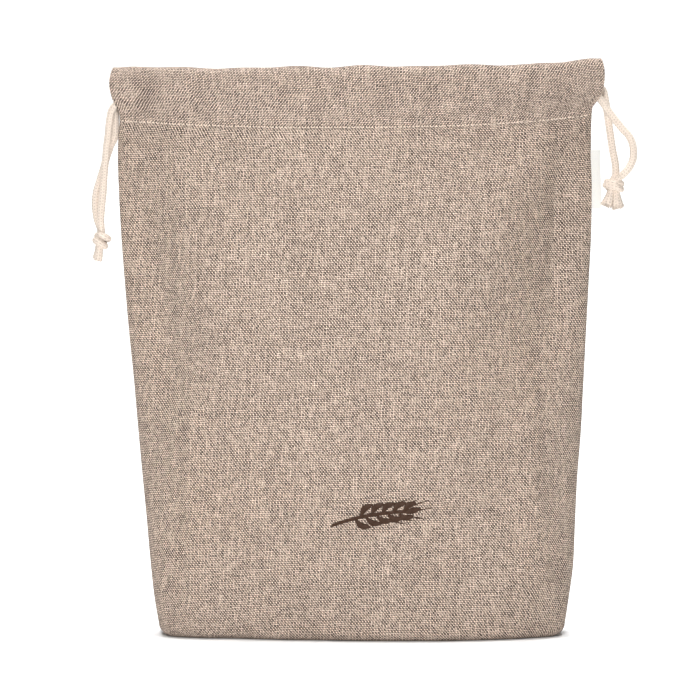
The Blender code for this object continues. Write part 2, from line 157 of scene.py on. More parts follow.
# Finer creases that the part's own faces are too coarse for
FRONT_CREASES = (
    Fold(0.114, 0.245, 0.119, 0.080, 0.0045, -0.0010),
    Fold(0.131, 0.170, 0.133, 0.100, 0.0055, 0.0010),
    Fold(0.128, 0.330, 0.131, 0.250, 0.0060, -0.0011),
    Fold(-0.113, 0.135, -0.117, 0.022, 0.0040, -0.0008),
    Fold(-0.128, 0.328, -0.121, 0.262, 0.0050, -0.0009),
    Fold(-0.084, 0.324, -0.074, 0.286, 0.0060, -0.0007),
    Fold(0.073, 0.258, 0.064, 0.232, 0.0050, -0.0012),
    Fold(0.128, 0.045, 0.133, 0.022, 0.0055, -0.0018),
    Fold(-0.044, 0.030, -0.026, 0.000, 0.0120, -0.0012),
)
BACK_CREASES = (
    Fold(-0.112, 0.250, -0.118, 0.090, 0.0050, -0.0010),
    Fold(0.118, 0.230, 0.112, 0.120, 0.0045, -0.0009),
    Fold(0.060, 0.325, 0.048, 0.275, 0.0060, -0.0008),
    Fold(-0.040, 0.322, -0.052, 0.280, 0.0055, -0.0007),
    Fold(0.110, 0.050, 0.122, 0.010, 0.0060, -0.0014),
)


@dataclass(frozen=True)
class Wrinkle:
    """A soft upright trough or ridge in the casing."""

    x: float
    width: float
    height: float
    lean: float = 0.0


FRONT_WRINKLES = (
    Wrinkle(-0.136, 0.0052, -0.0024, 0.10), Wrinkle(-0.121, 0.0060, 0.0014),
    Wrinkle(-0.102, 0.0046, -0.0015, -0.15), Wrinkle(-0.078, 0.0090, 0.0010),
    Wrinkle(-0.047, 0.0042, -0.0012, 0.12), Wrinkle(-0.028, 0.0040, -0.0012, -0.10),
    Wrinkle(0.018, 0.0060, -0.0019, 0.18), Wrinkle(0.033, 0.0062, 0.0010),
    Wrinkle(0.047, 0.0044, -0.0014, -0.08), Wrinkle(0.060, 0.0050, 0.0008),
    Wrinkle(0.071, 0.0042, -0.0017, 0.10), Wrinkle(0.092, 0.0046, -0.0015, -0.12),
    Wrinkle(0.111, 0.0054, -0.0020, 0.10), Wrinkle(0.131, 0.0070, -0.0017),
)
BACK_WRINKLES = (
    Wrinkle(-0.128, 0.0056, -0.0019, 0.12), Wrinkle(-0.096, 0.0050, -0.0015, -0.10),
    Wrinkle(-0.060, 0.0048, -0.0017, 0.10), Wrinkle(-0.018, 0.0060, -0.0014),
    Wrinkle(0.014, 0.0046, -0.0015, -0.12), Wrinkle(0.052, 0.0054, -0.0019, 0.14),
    Wrinkle(0.086, 0.0046, -0.0014), Wrinkle(0.122, 0.0058, -0.0020, -0.10),
)

LEFT_FRONT_ROUTE = (
    (-0.1500, -0.0055, 0.3432), (-0.1540, -0.0051, 0.3430), (-0.1568, -0.0047, 0.3413),
    (-0.1586, -0.0044, 0.3384), (-0.1595, -0.0040, 0.3348), (-0.1601, -0.0038, 0.3310),
    (-0.1608, -0.0036, 0.3236), (-0.1618, -0.0035, 0.3162), (-0.1625, -0.0034, 0.3087),
    (-0.1633, -0.0033, 0.3013), (-0.1639, -0.0032, 0.2939), (-0.1643, -0.0031, 0.2865),
    (-0.1651, -0.0030, 0.2791), (-0.1658, -0.0029, 0.2717), (-0.1660, -0.0028, 0.2672),
    (-0.1657, -0.0028, 0.2636),
)
LEFT_BACK_ROUTE = (
    (-0.1500, 0.0054, 0.3432), (-0.1537, 0.0048, 0.3426), (-0.1558, 0.0044, 0.3404),
    (-0.1567, 0.0040, 0.3372), (-0.1567, 0.0038, 0.3310), (-0.1569, 0.0035, 0.3236),
    (-0.1579, 0.0033, 0.3199), (-0.1598, 0.0031, 0.3162), (-0.1611, 0.0030, 0.3124),
    (-0.1624, 0.0030, 0.3087), (-0.1645, 0.0029, 0.3013), (-0.1668, 0.0028, 0.2939),
    (-0.1690, 0.0026, 0.2865), (-0.1697, 0.0025, 0.2791), (-0.1692, 0.0026, 0.2717),
    (-0.1682, 0.0027, 0.2672), (-0.1670, 0.0027, 0.2636),
)
RIGHT_FRONT_ROUTE = (
    (0.1460, -0.0075, 0.3538), (0.1500, -0.0064, 0.3522), (0.1535, -0.0054, 0.3490),
    (0.1557, -0.0050, 0.3459), (0.1577, -0.0048, 0.3433), (0.1612, -0.0050, 0.3381),
    (0.1652, -0.0054, 0.3328), (0.1699, -0.0057, 0.3270), (0.1740, -0.0062, 0.3224),
    (0.1762, -0.0066, 0.3180), (0.1771, -0.0069, 0.3130), (0.1769, -0.0071, 0.3080),
    (0.1752, -0.0073, 0.3035), (0.1726, -0.0073, 0.2997), (0.1690, -0.0073, 0.2962),
)
RIGHT_BACK_ROUTE = (
    (0.1460, 0.0075, 0.3538), (0.1507, 0.0066, 0.3543), (0.1552, 0.0056, 0.3540),
    (0.1581, 0.0052, 0.3520), (0.1592, 0.0043, 0.3485), (0.1600, 0.0035, 0.3438),
    (0.1606, 0.0028, 0.3392), (0.1611, 0.0021, 0.3355), (0.1616, 0.0015, 0.3315),
    (0.1627, 0.0006, 0.3235), (0.1640, -0.0002, 0.3142), (0.1650, -0.0008, 0.3092),
    (0.1658, -0.0012, 0.3049), (0.1662, -0.0016, 0.3000), (0.1660, -0.0018, 0.2960),
)


class Slot(Enum):
    """The record's material slots."""

    LINEN = "linen"
    COTTON = "cotton_cord"
    TAPE = "white_tape"


class Facing(Enum):
    """Which way a panel faces along Y."""

    FRONT = -1
    BACK = 1


# ---------------------------------------------------------------------------------------------
# Finishes
# ---------------------------------------------------------------------------------------------


class Wiring:
    """Short ways to add nodes to a shader tree."""

    def __init__(self, tree: bpy.types.NodeTree) -> None:
        """Keep the tree that nodes are added to."""
        self.tree = tree

    def node(self, kind: str, inputs: dict | None = None, **settings: object) -> bpy.types.Node:
        """Add a node.

        Args:
            kind: the node's type.
            inputs: its sockets by name or number, each a socket to join to or a value.
            settings: the node's own properties.

        Returns:
            The new node.
        """
        made = self.tree.nodes.new(kind)
        for name, value in settings.items():
            setattr(made, name, value)
        for key, value in (inputs or {}).items():
            self.feed(made.inputs[key], value)
        return made

    def feed(self, socket: bpy.types.NodeSocket, value: object) -> None:
        """Join a socket to another one, or set its value."""
        if isinstance(value, bpy.types.NodeSocket):
            self.tree.links.new(value, socket)
        else:
            socket.default_value = value

    def calc(self, operation: str, *values: object) -> bpy.types.NodeSocket:
        """Return the output of a Math node with these values."""
        made = self.node("ShaderNodeMath", dict(enumerate(values)), operation=operation)
        return made.outputs[0]

    def times(self, first: object, second: object) -> bpy.types.NodeSocket:
        """Return the product of two values."""
        return self.calc("MULTIPLY", first, second)

    def swing(self, value: object, amount: object, middle: object = 1.0) -> bpy.types.NodeSocket:
        """Return a value from 0 to 1 as a swing of an amount about a middle."""
        return self.calc("ADD", middle, self.times(self.calc("SUBTRACT", value, 0.5), amount))

    def noise(self, vector: object, scale: float, detail: float = 2.0) -> bpy.types.NodeSocket:
        """Return smooth noise from 0 to 1 at a place."""
        made = self.node("ShaderNodeTexNoise",
                         {"Vector": vector, "Scale": scale, "Detail": detail, "Roughness": 0.55})
        return made.outputs["Fac"]

    def place(self, x: object, y: object, z: object = 0.0) -> bpy.types.NodeSocket:
        """Return a vector put together from three values."""
        return self.node("ShaderNodeCombineXYZ", {"X": x, "Y": y, "Z": z}).outputs[0]

    def blend(self, share: object, first: object, second: object,
              mode: str = "MIX") -> bpy.types.NodeSocket:
        """Return a blend of two colours."""
        made = self.node("ShaderNodeMix", data_type="RGBA", blend_type=mode)
        self.feed(made.inputs[0], share)
        self.feed(made.inputs[6], first)
        self.feed(made.inputs[7], second)
        return made.outputs[2]


def shader_group(name: str, inputs: dict[str, object], outputs: dict[str, str],
                 wire: Callable[[Wiring, dict, dict], None]) -> bpy.types.NodeTree:
    """Return a shared shader effect, built on first use.

    Args:
        name: the group's name.
        inputs: its input sockets by name; a tuple is a vector, a number a float.
        outputs: its output sockets by name, each with its socket type.
        wire: fills in the nodes between them.

    Returns:
        The node group.
    """
    tree = bpy.data.node_groups.get(name)
    if tree is not None:
        return tree
    tree = bpy.data.node_groups.new(name, "ShaderNodeTree")
    for label, value in inputs.items():
        kind = "NodeSocketVector" if isinstance(value, tuple) else "NodeSocketFloat"
        socket = tree.interface.new_socket(label, in_out="INPUT", socket_type=kind)
        if not isinstance(value, tuple):
            socket.default_value = value
    for label, kind in outputs.items():
        tree.interface.new_socket(label, in_out="OUTPUT", socket_type=kind)
    entry, leave = tree.nodes.new("NodeGroupInput"), tree.nodes.new("NodeGroupOutput")
    wire(Wiring(tree), {s.name: s for s in entry.outputs}, {s.name: s for s in leave.inputs})
    return tree


# How fast each noise of the weave changes, in changes per metre of cloth
UPRIGHT_WANDER, LEVEL_WANDER = 95.0, 85.0     # the threads' slow wander
UPRIGHT_RUN, LEVEL_RUN = 110.0, 90.0          # tone along one thread
UPRIGHT_STEP, LEVEL_STEP = 3.71, 3.37         # tone from one thread to the next
STREAKS = ((260.0, 9.0, 2.0), (10.0, 230.0, 9.0))   # slubs: across, up and layer of the noise
WEAVE_DIP = 0.46                              # how far a thread dips where it goes under


def plain_weave() -> bpy.types.NodeTree:
    """Return the over-and-under weave of upright and level threads."""

    def wire(w: Wiring, given: dict, wanted: dict) -> None:
        """Wire the weave."""
        spot = w.node("ShaderNodeSeparateXYZ", {0: given["Place"]})
        x, y = spot.outputs["X"], spot.outputs["Y"]
        u = w.swing(w.noise(given["Place"], UPRIGHT_WANDER), given["Wander"],
                    w.calc("DIVIDE", x, given["Upright Pitch"]))
        v = w.swing(w.noise(w.place(y, x, 0.7), LEVEL_WANDER), given["Wander"],
                    w.calc("DIVIDE", y, given["Level Pitch"]))
        column, row = w.calc("FLOOR", u), w.calc("FLOOR", v)
        tone_up = w.noise(w.place(w.times(column, UPRIGHT_STEP), w.times(y, UPRIGHT_RUN)), 1.0)
        tone_level = w.noise(w.place(w.times(x, LEVEL_RUN), w.times(row, LEVEL_STEP), 5.0), 1.0)

        def thread(place: object, other: object, number: object, tone: object, sign: float) -> object:
            """Height of one set of threads."""
            off = w.calc("SUBTRACT", w.calc("FRACT", place), 0.5)
            reach = w.times(given["Thread Width"], w.swing(tone, given["Slubs"]))
            ratio = w.calc("DIVIDE", off, reach)
            round_top = w.calc("MAXIMUM", 0.0, w.calc("SUBTRACT", 1.0, w.times(ratio, ratio)))
            wave = w.calc("SINE", w.times(w.calc("ADD", other, number), math.pi))
            lift = w.calc("ADD", 1.0 - WEAVE_DIP, w.times(wave, WEAVE_DIP * sign))
            return w.times(w.calc("SQRT", round_top), lift)

        high_up = thread(u, v, column, tone_up, 1.0)
        high_level = thread(v, u, row, tone_level, -1.0)
        height = w.calc("MAXIMUM", high_up, high_level)
        upper = w.calc("GREATER_THAN", high_up, high_level)
        crossing = w.node("ShaderNodeTexWhiteNoise", {"Vector": w.place(column, row)},
                          noise_dimensions="2D").outputs["Value"]
        thread_tone = w.calc("ADD", w.times(upper, tone_up),
                             w.times(w.calc("SUBTRACT", 1.0, upper), tone_level))
        # painted shade along one diagonal of every crossing
        diagonal_shade = w.calc("COSINE", w.times(w.calc("ADD", u, v), math.pi))
        tone = w.swing(thread_tone, 0.5, middle=0.5)
        tone = w.swing(crossing, given["Crossings"], middle=tone)
        # painted light on the upright threads, where they lie on top
        tone = w.swing(upper, given["Upright Lift"], middle=tone)
        tone = w.calc("ADD", tone, w.times(diagonal_shade, given["Slant"]))
        upright, level = (w.noise(w.place(w.times(x, across), w.times(y, up), layer), 1.0)
                          for across, up, layer in STREAKS)
        w.feed(wanted["Height"], height)
        w.feed(wanted["Tone"], tone)
        w.feed(wanted["Streak"], w.calc("ADD", w.times(0.6, upright), w.times(0.4, level)))

    return shader_group(
        "plain_weave",
        {"Place": (0, 0, 0), "Upright Pitch": 0.001, "Level Pitch": 0.001, "Thread Width": 0.42,
         "Slubs": 0.7, "Wander": 0.8, "Crossings": 0.3, "Upright Lift": 0.2, "Slant": 0.0},
        {"Height": "NodeSocketFloat", "Tone": "NodeSocketFloat", "Streak": "NodeSocketFloat"}, wire)


def spun_fibres() -> bpy.types.NodeTree:
    """Return the fine fibres of a spun yarn, long in one direction."""

    def wire(w: Wiring, given: dict, wanted: dict) -> None:
        """Wire the fibres."""
        spot = w.node("ShaderNodeSeparateXYZ", {0: given["Place"]})
        across = w.calc("DIVIDE", spot.outputs["X"], given["Fibre Width"])
        along = w.calc("DIVIDE", spot.outputs["Y"], given["Fibre Length"])
        deep = w.calc("DIVIDE", spot.outputs["Z"], given["Fibre Width"])
        fine = w.noise(w.place(across, along, deep), 1.0, 3.0)
        clumps = w.noise(w.place(w.times(across, 0.17), w.times(along, 0.31), deep), 1.0, 1.0)
        w.feed(wanted["Height"], fine)
        w.feed(wanted["Tone"], w.calc("ADD", w.times(fine, 0.6), w.times(clumps, 0.4)))

    return shader_group("spun_fibres",
                        {"Place": (0, 0, 0), "Fibre Width": 0.00015, "Fibre Length": 0.0015},
                        {"Height": "NodeSocketFloat", "Tone": "NodeSocketFloat"}, wire)


def tone_drift() -> bpy.types.NodeTree:
    """Return the slow change of tone over a piece that has been dyed, washed and handled."""

    def wire(w: Wiring, given: dict, wanted: dict) -> None:
        """Wire the drift."""
        slow = w.noise(given["Place"], 14.0, 3.0)
        patchy = w.noise(given["Place"], 120.0, 2.0)
        both = w.calc("ADD", w.times(slow, 0.6), w.times(patchy, 0.4))
        w.feed(wanted["Factor"], w.swing(both, given["Amount"]))

    return shader_group("tone_drift", {"Place": (0, 0, 0), "Amount": 0.2},
                        {"Factor": "NodeSocketFloat"}, wire)


Colour = tuple[float, float, float]

# Heights of the weave, 0 to 1, where its colours stand: painted shade in the gaps, then the threads' sides,
# then a painted highlight on the crowns
GAP_END, THREAD_SIDE, CROWN_START = 0.35, 0.70, 0.95
PAINTED_CREASE_SHADE = 0.24              # how much painted shade darkens the cloth at the bottom of a groove
DARKEST = 0.05                   # least tone factor of a thread
LIGHTEST: Colour = (0.98, 0.82, 0.69)


def start_material(name: str, roughness: float, sheen: float) -> tuple[bpy.types.Material, Wiring,
                                                                       bpy.types.Node]:
    """Return a new material, its wiring and its Principled shader."""
    material = bpy.data.materials.new(name)
    material.use_nodes = True
    shader = material.node_tree.nodes["Principled BSDF"]
    shader.inputs["Metallic"].default_value = 0.0
    shader.inputs["Roughness"].default_value = roughness
    shader.inputs["Sheen Weight"].default_value = sheen
    shader.inputs["Sheen Roughness"].default_value = 0.5
    shader.inputs["Specular IOR Level"].default_value = 0.2
    return material, Wiring(material.node_tree), shader


@dataclass(frozen=True)
class WovenFinish:
    """A plain-woven cloth with visible threads."""

    name: str
    gap: Colour                  # painted shade seen between the threads
    thread: Colour               # colour on the threads' sides
    crown: Colour                # painted highlight on the threads' tops
    upright_pitch: float
    level_pitch: float
    thread_width: float
    slubs: float
    wander: float
    tone_spread: float
    streak_spread: float
    relief: float                # depth of the weave
    crossings: float = 0.3       # how much each crossing differs from the next
    slant: float = 0.0           # painted shade along one diagonal of the crossings
    upright_lift: float = 0.2    # how much painted light the upright threads get
    gain: float = 1.0            # brings the uneven threads back to their usual tone
    roughness: float = 0.9
    sheen: float = 0.0

    def material(self) -> bpy.types.Material:
        """Return the finish's material, made on first use."""
        found = bpy.data.materials.get(self.name)
        if found is not None:
            return found
        material, w, shader = start_material(self.name, self.roughness, self.sheen)
        flat = w.node("ShaderNodeUVMap", uv_map=CLOTH_MAP).outputs["UV"]
        solid = w.node("ShaderNodeTexCoord").outputs["Object"]
        weave = w.node("ShaderNodeGroup", node_tree=plain_weave())
        for label, value in (("Place", flat), ("Upright Pitch", self.upright_pitch),
                             ("Level Pitch", self.level_pitch), ("Thread Width", self.thread_width),
                             ("Slubs", self.slubs), ("Wander", self.wander),
                             ("Crossings", self.crossings), ("Upright Lift", self.upright_lift),
                             ("Slant", self.slant)):
            w.feed(weave.inputs[label], value)
        height = weave.outputs["Height"]
        # the weave's height paints shade into the gaps and a highlight onto the crowns
        ramp = w.node("ShaderNodeValToRGB", {"Fac": height})
        bottom, top = ramp.color_ramp.elements
        bottom.position, bottom.color = GAP_END, (*self.gap, 1.0)
        top.position, top.color = CROWN_START, (*self.crown, 1.0)
        ramp.color_ramp.elements.new(THREAD_SIDE).color = (*self.thread, 1.0)
        drift = w.node("ShaderNodeGroup", node_tree=tone_drift())
        w.feed(drift.inputs["Place"], solid)
        w.feed(drift.inputs["Amount"], 0.16)
        fibres = w.node("ShaderNodeGroup", node_tree=spun_fibres())
        w.feed(fibres.inputs["Place"], flat)
        tone = w.swing(weave.outputs["Tone"], self.tone_spread)
        streak = w.swing(weave.outputs["Streak"], self.streak_spread)
        hair = w.calc("ADD", 0.9, w.times(fibres.outputs["Tone"], 0.2))
        factor = w.times(w.times(tone, streak), w.times(drift.outputs["Factor"], hair))
        # painted shade in the creases, casing wrinkles and stitched groove
        hollow = w.node("ShaderNodeAttribute", attribute_name=PAINTED_SHADE_AND_TONE).outputs["Fac"]
        factor = w.times(factor, w.calc("SUBTRACT", 1.0, w.times(hollow, PAINTED_CREASE_SHADE)))
        factor = w.times(w.calc("MAXIMUM", factor, DARKEST), self.gain)
        scaled = w.node("ShaderNodeVectorMath", {0: ramp.outputs["Color"]}, operation="SCALE")
        w.feed(scaled.inputs["Scale"], factor)
        capped = w.node("ShaderNodeVectorMath", {0: scaled.outputs[0], 1: LIGHTEST},
                        operation="MINIMUM")
        w.feed(shader.inputs["Base Color"], capped.outputs[0])
        rough = w.calc("ADD", self.roughness - 0.08, w.times(fibres.outputs["Tone"], 0.12))
        w.feed(shader.inputs["Roughness"], rough)
        surface = w.calc("ADD", height, w.times(fibres.outputs["Height"], 0.12))
        bump = w.node("ShaderNodeBump", {"Height": surface, "Distance": self.relief, "Strength": 1.0})
        w.feed(shader.inputs["Normal"], bump.outputs["Normal"])
        return material


@dataclass(frozen=True)
class YarnFinish:
    """Spun yarn: a braided cord, a stitching thread or an embroidery thread."""

    name: str
    light: Colour
    dark: Colour                 # painted shade between the strands, and the darker tone of loose yarns
    fibre_width: float
    fibre_length: float
    contrast: float
    roughness: float
    sheen: float
    relief: float = 0.00012

    def material(self) -> bpy.types.Material:
        """Return the finish's material, made on first use."""
        found = bpy.data.materials.get(self.name)
        if found is not None:
            return found
        material, w, shader = start_material(self.name, self.roughness, self.sheen)
        flat = w.node("ShaderNodeUVMap", uv_map=BRAID_MAP).outputs["UV"]
        solid = w.node("ShaderNodeTexCoord").outputs["Object"]
        fibres = w.node("ShaderNodeGroup", node_tree=spun_fibres())
        w.feed(fibres.inputs["Place"], flat)
        w.feed(fibres.inputs["Fibre Width"], self.fibre_width)
        w.feed(fibres.inputs["Fibre Length"], self.fibre_length)
        drift = w.node("ShaderNodeGroup", node_tree=tone_drift())
        w.feed(drift.inputs["Place"], solid)
        w.feed(drift.inputs["Amount"], 0.12)
        # painted shade between strands and satin threads, and a random darker tone on loose yarns
        hollow = w.node("ShaderNodeAttribute", attribute_name=PAINTED_SHADE_AND_TONE).outputs["Fac"]
        mixed = w.blend(hollow, (*self.light, 1.0), (*self.dark, 1.0))
        tone = w.swing(fibres.outputs["Tone"], self.contrast)
        scaled = w.node("ShaderNodeVectorMath", {0: mixed}, operation="SCALE")
        w.feed(scaled.inputs["Scale"], w.times(tone, drift.outputs["Factor"]))
        w.feed(shader.inputs["Base Color"], scaled.outputs[0])
        rough = w.calc("ADD", self.roughness - 0.05, w.times(fibres.outputs["Tone"], 0.1))
        w.feed(shader.inputs["Roughness"], rough)
        bump = w.node("ShaderNodeBump", {"Height": fibres.outputs["Height"], "Distance": self.relief,
                                         "Strength": 0.8})
        w.feed(shader.inputs["Normal"], bump.outputs["Normal"])
        return material


LINEN = WovenFinish("natural_linen_weave", gap=(0.012, 0.008, 0.006), thread=(0.300, 0.226, 0.182),
                    crown=(0.96, 0.765, 0.635), upright_pitch=0.00097, level_pitch=0.00117,
                    thread_width=0.40, slubs=0.7, wander=1.35, tone_spread=2.8, streak_spread=1.0,
                    relief=0.00030, crossings=0.24, slant=0.46, upright_lift=0.32, gain=1.35)
TAPE = WovenFinish("white_woven_tape", gap=(0.54, 0.53, 0.53), thread=(0.72, 0.71, 0.71),
                   crown=(0.81, 0.80, 0.80), upright_pitch=0.00030, level_pitch=0.00030,
                   thread_width=0.48, slubs=0.2, wander=0.2, tone_spread=0.10, streak_spread=0.06,
                   relief=0.00006, crossings=0.1, upright_lift=0.0, roughness=0.75)
COTTON = YarnFinish("cotton_braid", light=(0.715, 0.618, 0.535), dark=(0.24, 0.175, 0.13),
                    fibre_width=0.00020, fibre_length=0.0011, contrast=0.75, roughness=0.9, sheen=0.15)
SEWING = YarnFinish("sewing_thread", light=(0.80, 0.68, 0.57), dark=(0.42, 0.33, 0.26),
                    fibre_width=0.00008, fibre_length=0.0006, contrast=0.25, roughness=0.7, sheen=0.2,
                    relief=0.00004)
BROWN = YarnFinish("brown_embroidery", light=(0.052, 0.023, 0.011), dark=(0.014, 0.006, 0.003),
                   fibre_width=0.00009, fibre_length=0.0008, contrast=0.5, roughness=0.45, sheen=0.0,
                   relief=0.00004)


# ---------------------------------------------------------------------------------------------
# Meshes
# ---------------------------------------------------------------------------------------------


@dataclass
class Shell:
    """Vertices, faces, UVs and values of painted shade and tone that are gathered before they become one
    mesh.
    """

    points: list[np.ndarray] = field(default_factory=list)
    faces: list[Sequence[int]] = field(default_factory=list)
    flats: list[np.ndarray] = field(default_factory=list)
    painted_shades_and_tones: list[np.ndarray] = field(default_factory=list)
    count: int = 0

    def add(self, points: np.ndarray, faces: list, flat: np.ndarray, hollow: np.ndarray) -> None:
        """Add vertices, and faces that count from the first of them."""
        self.points.append(points)
        self.flats.append(flat)
        self.painted_shades_and_tones.append(hollow)
        self.faces += [[i + self.count for i in face] for face in faces]
        self.count += len(points)

    def piece(self, name: str, material: bpy.types.Material, uv_map: str,
              sharp: float = 60.0) -> bpy.types.Object:
        """Return the gathered mesh as an object.

        Args:
            name: the piece's name.
            material: its material.
            uv_map: the name of its UV map.
            sharp: edges with a larger angle, in degrees, are shaded as sharp.
        """
        data = bpy.data.meshes.new(name)
        data.from_pydata(np.concatenate(self.points).tolist(), [], self.faces)
        flat = np.concatenate(self.flats)
        corners = np.zeros(len(data.loops), dtype=np.int32)
        data.loops.foreach_get("vertex_index", corners)
        layer = data.uv_layers.new(name=uv_map)
        layer.data.foreach_set("uv", flat[corners].astype(np.float32).ravel())
        attribute = data.attributes.new(PAINTED_SHADE_AND_TONE, "FLOAT", "POINT")
        attribute.data.foreach_set("value", np.concatenate(self.painted_shades_and_tones).astype(np.float32))
        data.shade_smooth()
        data.set_sharp_from_angle(angle=math.radians(sharp))
        data.materials.append(material)
        piece = bpy.data.objects.new(name, data)
        bpy.context.scene.collection.objects.link(piece)
        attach(piece, BODY)
        log.info("%s: %d faces", name, len(data.polygons))
        return piece


def grid_faces(rows: int, columns: int, around: bool = False) -> list[tuple[int, ...]]:
    """Quads between rows of points; around joins each row's last point to its first."""
    faces = []
    for row in range(rows - 1):
        low, high = row * columns, (row + 1) * columns
        for column in range(columns if around else columns - 1):
            after = (column + 1) % columns
            faces.append((low + column, low + after, high + after, high + column))
    return faces


def close_skins(shell: Shell, rows: int, width: int, flip: bool) -> None:
    """Turn two skins of equal grids into one closed shell.

    Args:
        shell: holds the first skin and then the second, both wound the same way.
        rows: rows of points in each.
        width: points in each row.
        flip: turns every face over.
    """
    second, count = rows * width, len(shell.faces) // 2
    edges = []
    for column in range(width - 1):
        edges.append((column + 1, column, second + column, second + column + 1))
        last = (rows - 1) * width + column
        edges.append((last, last + 1, second + last + 1, second + last))
    for row in range(rows - 1):
        low, high = row * width, (row + 1) * width
        edges.append((low, high, second + high, second + low))
        low, high = low + width - 1, high + width - 1
        edges.append((high, low, second + low, second + high))
    first, other = shell.faces[:count], [face[::-1] for face in shell.faces[count:]]
    faces = first + other + edges
    shell.faces = [face[::-1] for face in faces] if flip else faces


def smooth_route(route: Sequence[Sequence[float]], spacing: float) -> np.ndarray:
    """Evenly spaced points on a smooth curve through the route's own points."""
    knots = np.array(route, dtype=float)
    ends = np.vstack([2 * knots[0] - knots[1], knots, 2 * knots[-1] - knots[-2]])
    share = np.linspace(0.0, 1.0, 12, endpoint=False)[:, None]
    dense = []
    for before, start, end, after in zip(ends, ends[1:], ends[2:], ends[3:]):
        dense.append(0.5 * (2 * start + (end - before) * share
                            + (2 * before - 5 * start + 4 * end - after) * share**2
                            + (3 * start - before - 3 * end + after) * share**3))
    line = np.vstack([*dense, knots[-1:]])
    return even_points(line, spacing)


def even_points(line: np.ndarray, spacing: float) -> np.ndarray:
    """Read evenly spaced points along a line of points."""
    travelled = np.concatenate([[0.0], np.cumsum(np.linalg.norm(np.diff(line, axis=0), axis=1))])
    wanted = np.linspace(0.0, travelled[-1], max(2, round(travelled[-1] / spacing)) + 1)
    return np.stack([np.interp(wanted, travelled, line[:, axis]) for axis in range(3)], axis=1)


@dataclass
class Braid:
    """A round braided cord: eight strands each way, two over and two under."""

    radius: float = CORD_RADIUS
    strands: int = 8
    lead: float = 0.0019          # length of cord from one strand to the next
    relief: float = 0.00058       # depth between the strands
    sides: int = 40
    spacing: float = 0.00032

    def surface(self, angles: np.ndarray, places: np.ndarray) -> tuple[np.ndarray, np.ndarray]:
        """Height of the braid from 0 to 1, and the shade painted on each place by how deep in a groove it is.

        Args:
            angles: angles round the cord.
            places: distances along the cord, one for each row of angles.
        """
        turn = self.strands * angles[None, :] / (2 * math.pi)
        first = turn + places[:, None] / self.lead
        second = turn - places[:, None] / self.lead
        round_share, over_share = 0.55, 0.45
        wave = over_share * np.cos(math.pi * (first + second) / 2)
        crown_a = 1 - (2 * (first - np.floor(first)) - 1) ** 2
        crown_b = 1 - (2 * (second - np.floor(second)) - 1) ** 2
        height = np.maximum(crown_a * round_share + wave, crown_b * round_share - wave)
        height = np.clip(height, 0.0, 1.0)
        return height, np.clip(1.0 - 1.6 * height, 0.0, 1.0)

    def tube(self, shell: Shell, line: np.ndarray, closed: bool = False,
             swell: Callable[[np.ndarray], np.ndarray] | None = None, start: float = 0.0) -> None:
        """Add a braided tube along a line of evenly spaced points.

        Args:
            shell: what the tube is added to.
            line: the ring centres.
            closed: joins the last ring to the first.
            swell: radius factor along the line, from shares of it, 0 to 1.
            start: how far along the braid's pattern the tube starts.
        """
        count = len(line)
        tangents = np.gradient(line, axis=0) if not closed else (
            np.roll(line, -1, axis=0) - np.roll(line, 1, axis=0))
        tangents /= np.linalg.norm(tangents, axis=1)[:, None]
        side = np.cross(tangents[0], (0.0, 1.0, 0.0))
        if np.linalg.norm(side) < 0.2:
            side = np.cross(tangents[0], (1.0, 0.0, 0.0))
        sides = np.zeros_like(line)
        for i, tangent in enumerate(tangents):
            side = side - np.dot(side, tangent) * tangent
            side /= np.linalg.norm(side)
            sides[i] = side
        ups = np.cross(tangents, sides)
        if closed:  # take up the frame's own turn round the loop
            slip = math.atan2(float(np.dot(ups[-1], sides[0])), float(np.dot(sides[-1], sides[0])))
            twist = -slip * np.arange(count) / (count - 1)
            cos, sin = np.cos(twist)[:, None], np.sin(twist)[:, None]
            sides, ups = sides * cos - ups * sin, sides * sin + ups * cos
        angles = np.linspace(0.0, 2 * math.pi, self.sides, endpoint=False)
        steps = np.linalg.norm(np.diff(line, axis=0), axis=1)
        places = np.concatenate([[0.0], np.cumsum(steps)])
        if closed:  # a whole number of strands round the loop
            total = places[-1] + steps[-1]
            places *= max(1, round(total / (2 * self.lead))) * 2 * self.lead / total
        # painted shade in the grooves between the strands
        height, hollow = self.surface(angles, places + start)
        radius = self.radius - self.relief * (1.0 - height)
        if swell is not None:
            radius = radius * swell(np.linspace(0.0, 1.0, count))[:, None]
        points = (line[:, None, :] + radius[:, :, None]
                  * (np.cos(angles)[None, :, None] * sides[:, None, :]
                     + np.sin(angles)[None, :, None] * ups[:, None, :])).reshape(-1, 3)
        flat = np.stack([np.broadcast_to(angles * self.radius, (count, self.sides)),
                         np.broadcast_to(places[:, None], (count, self.sides))], axis=2).reshape(-1, 2)
        faces = grid_faces(count, self.sides, around=True)
        if closed:
            last = (count - 1) * self.sides
            faces += [(last + i, last + (i + 1) % self.sides, (i + 1) % self.sides, i)
                      for i in range(self.sides)]
        else:
            faces.append(tuple(reversed(range(self.sides))))
            faces.append(tuple(range((count - 1) * self.sides, count * self.sides)))
        shell.add(points, faces, flat, hollow.reshape(-1))


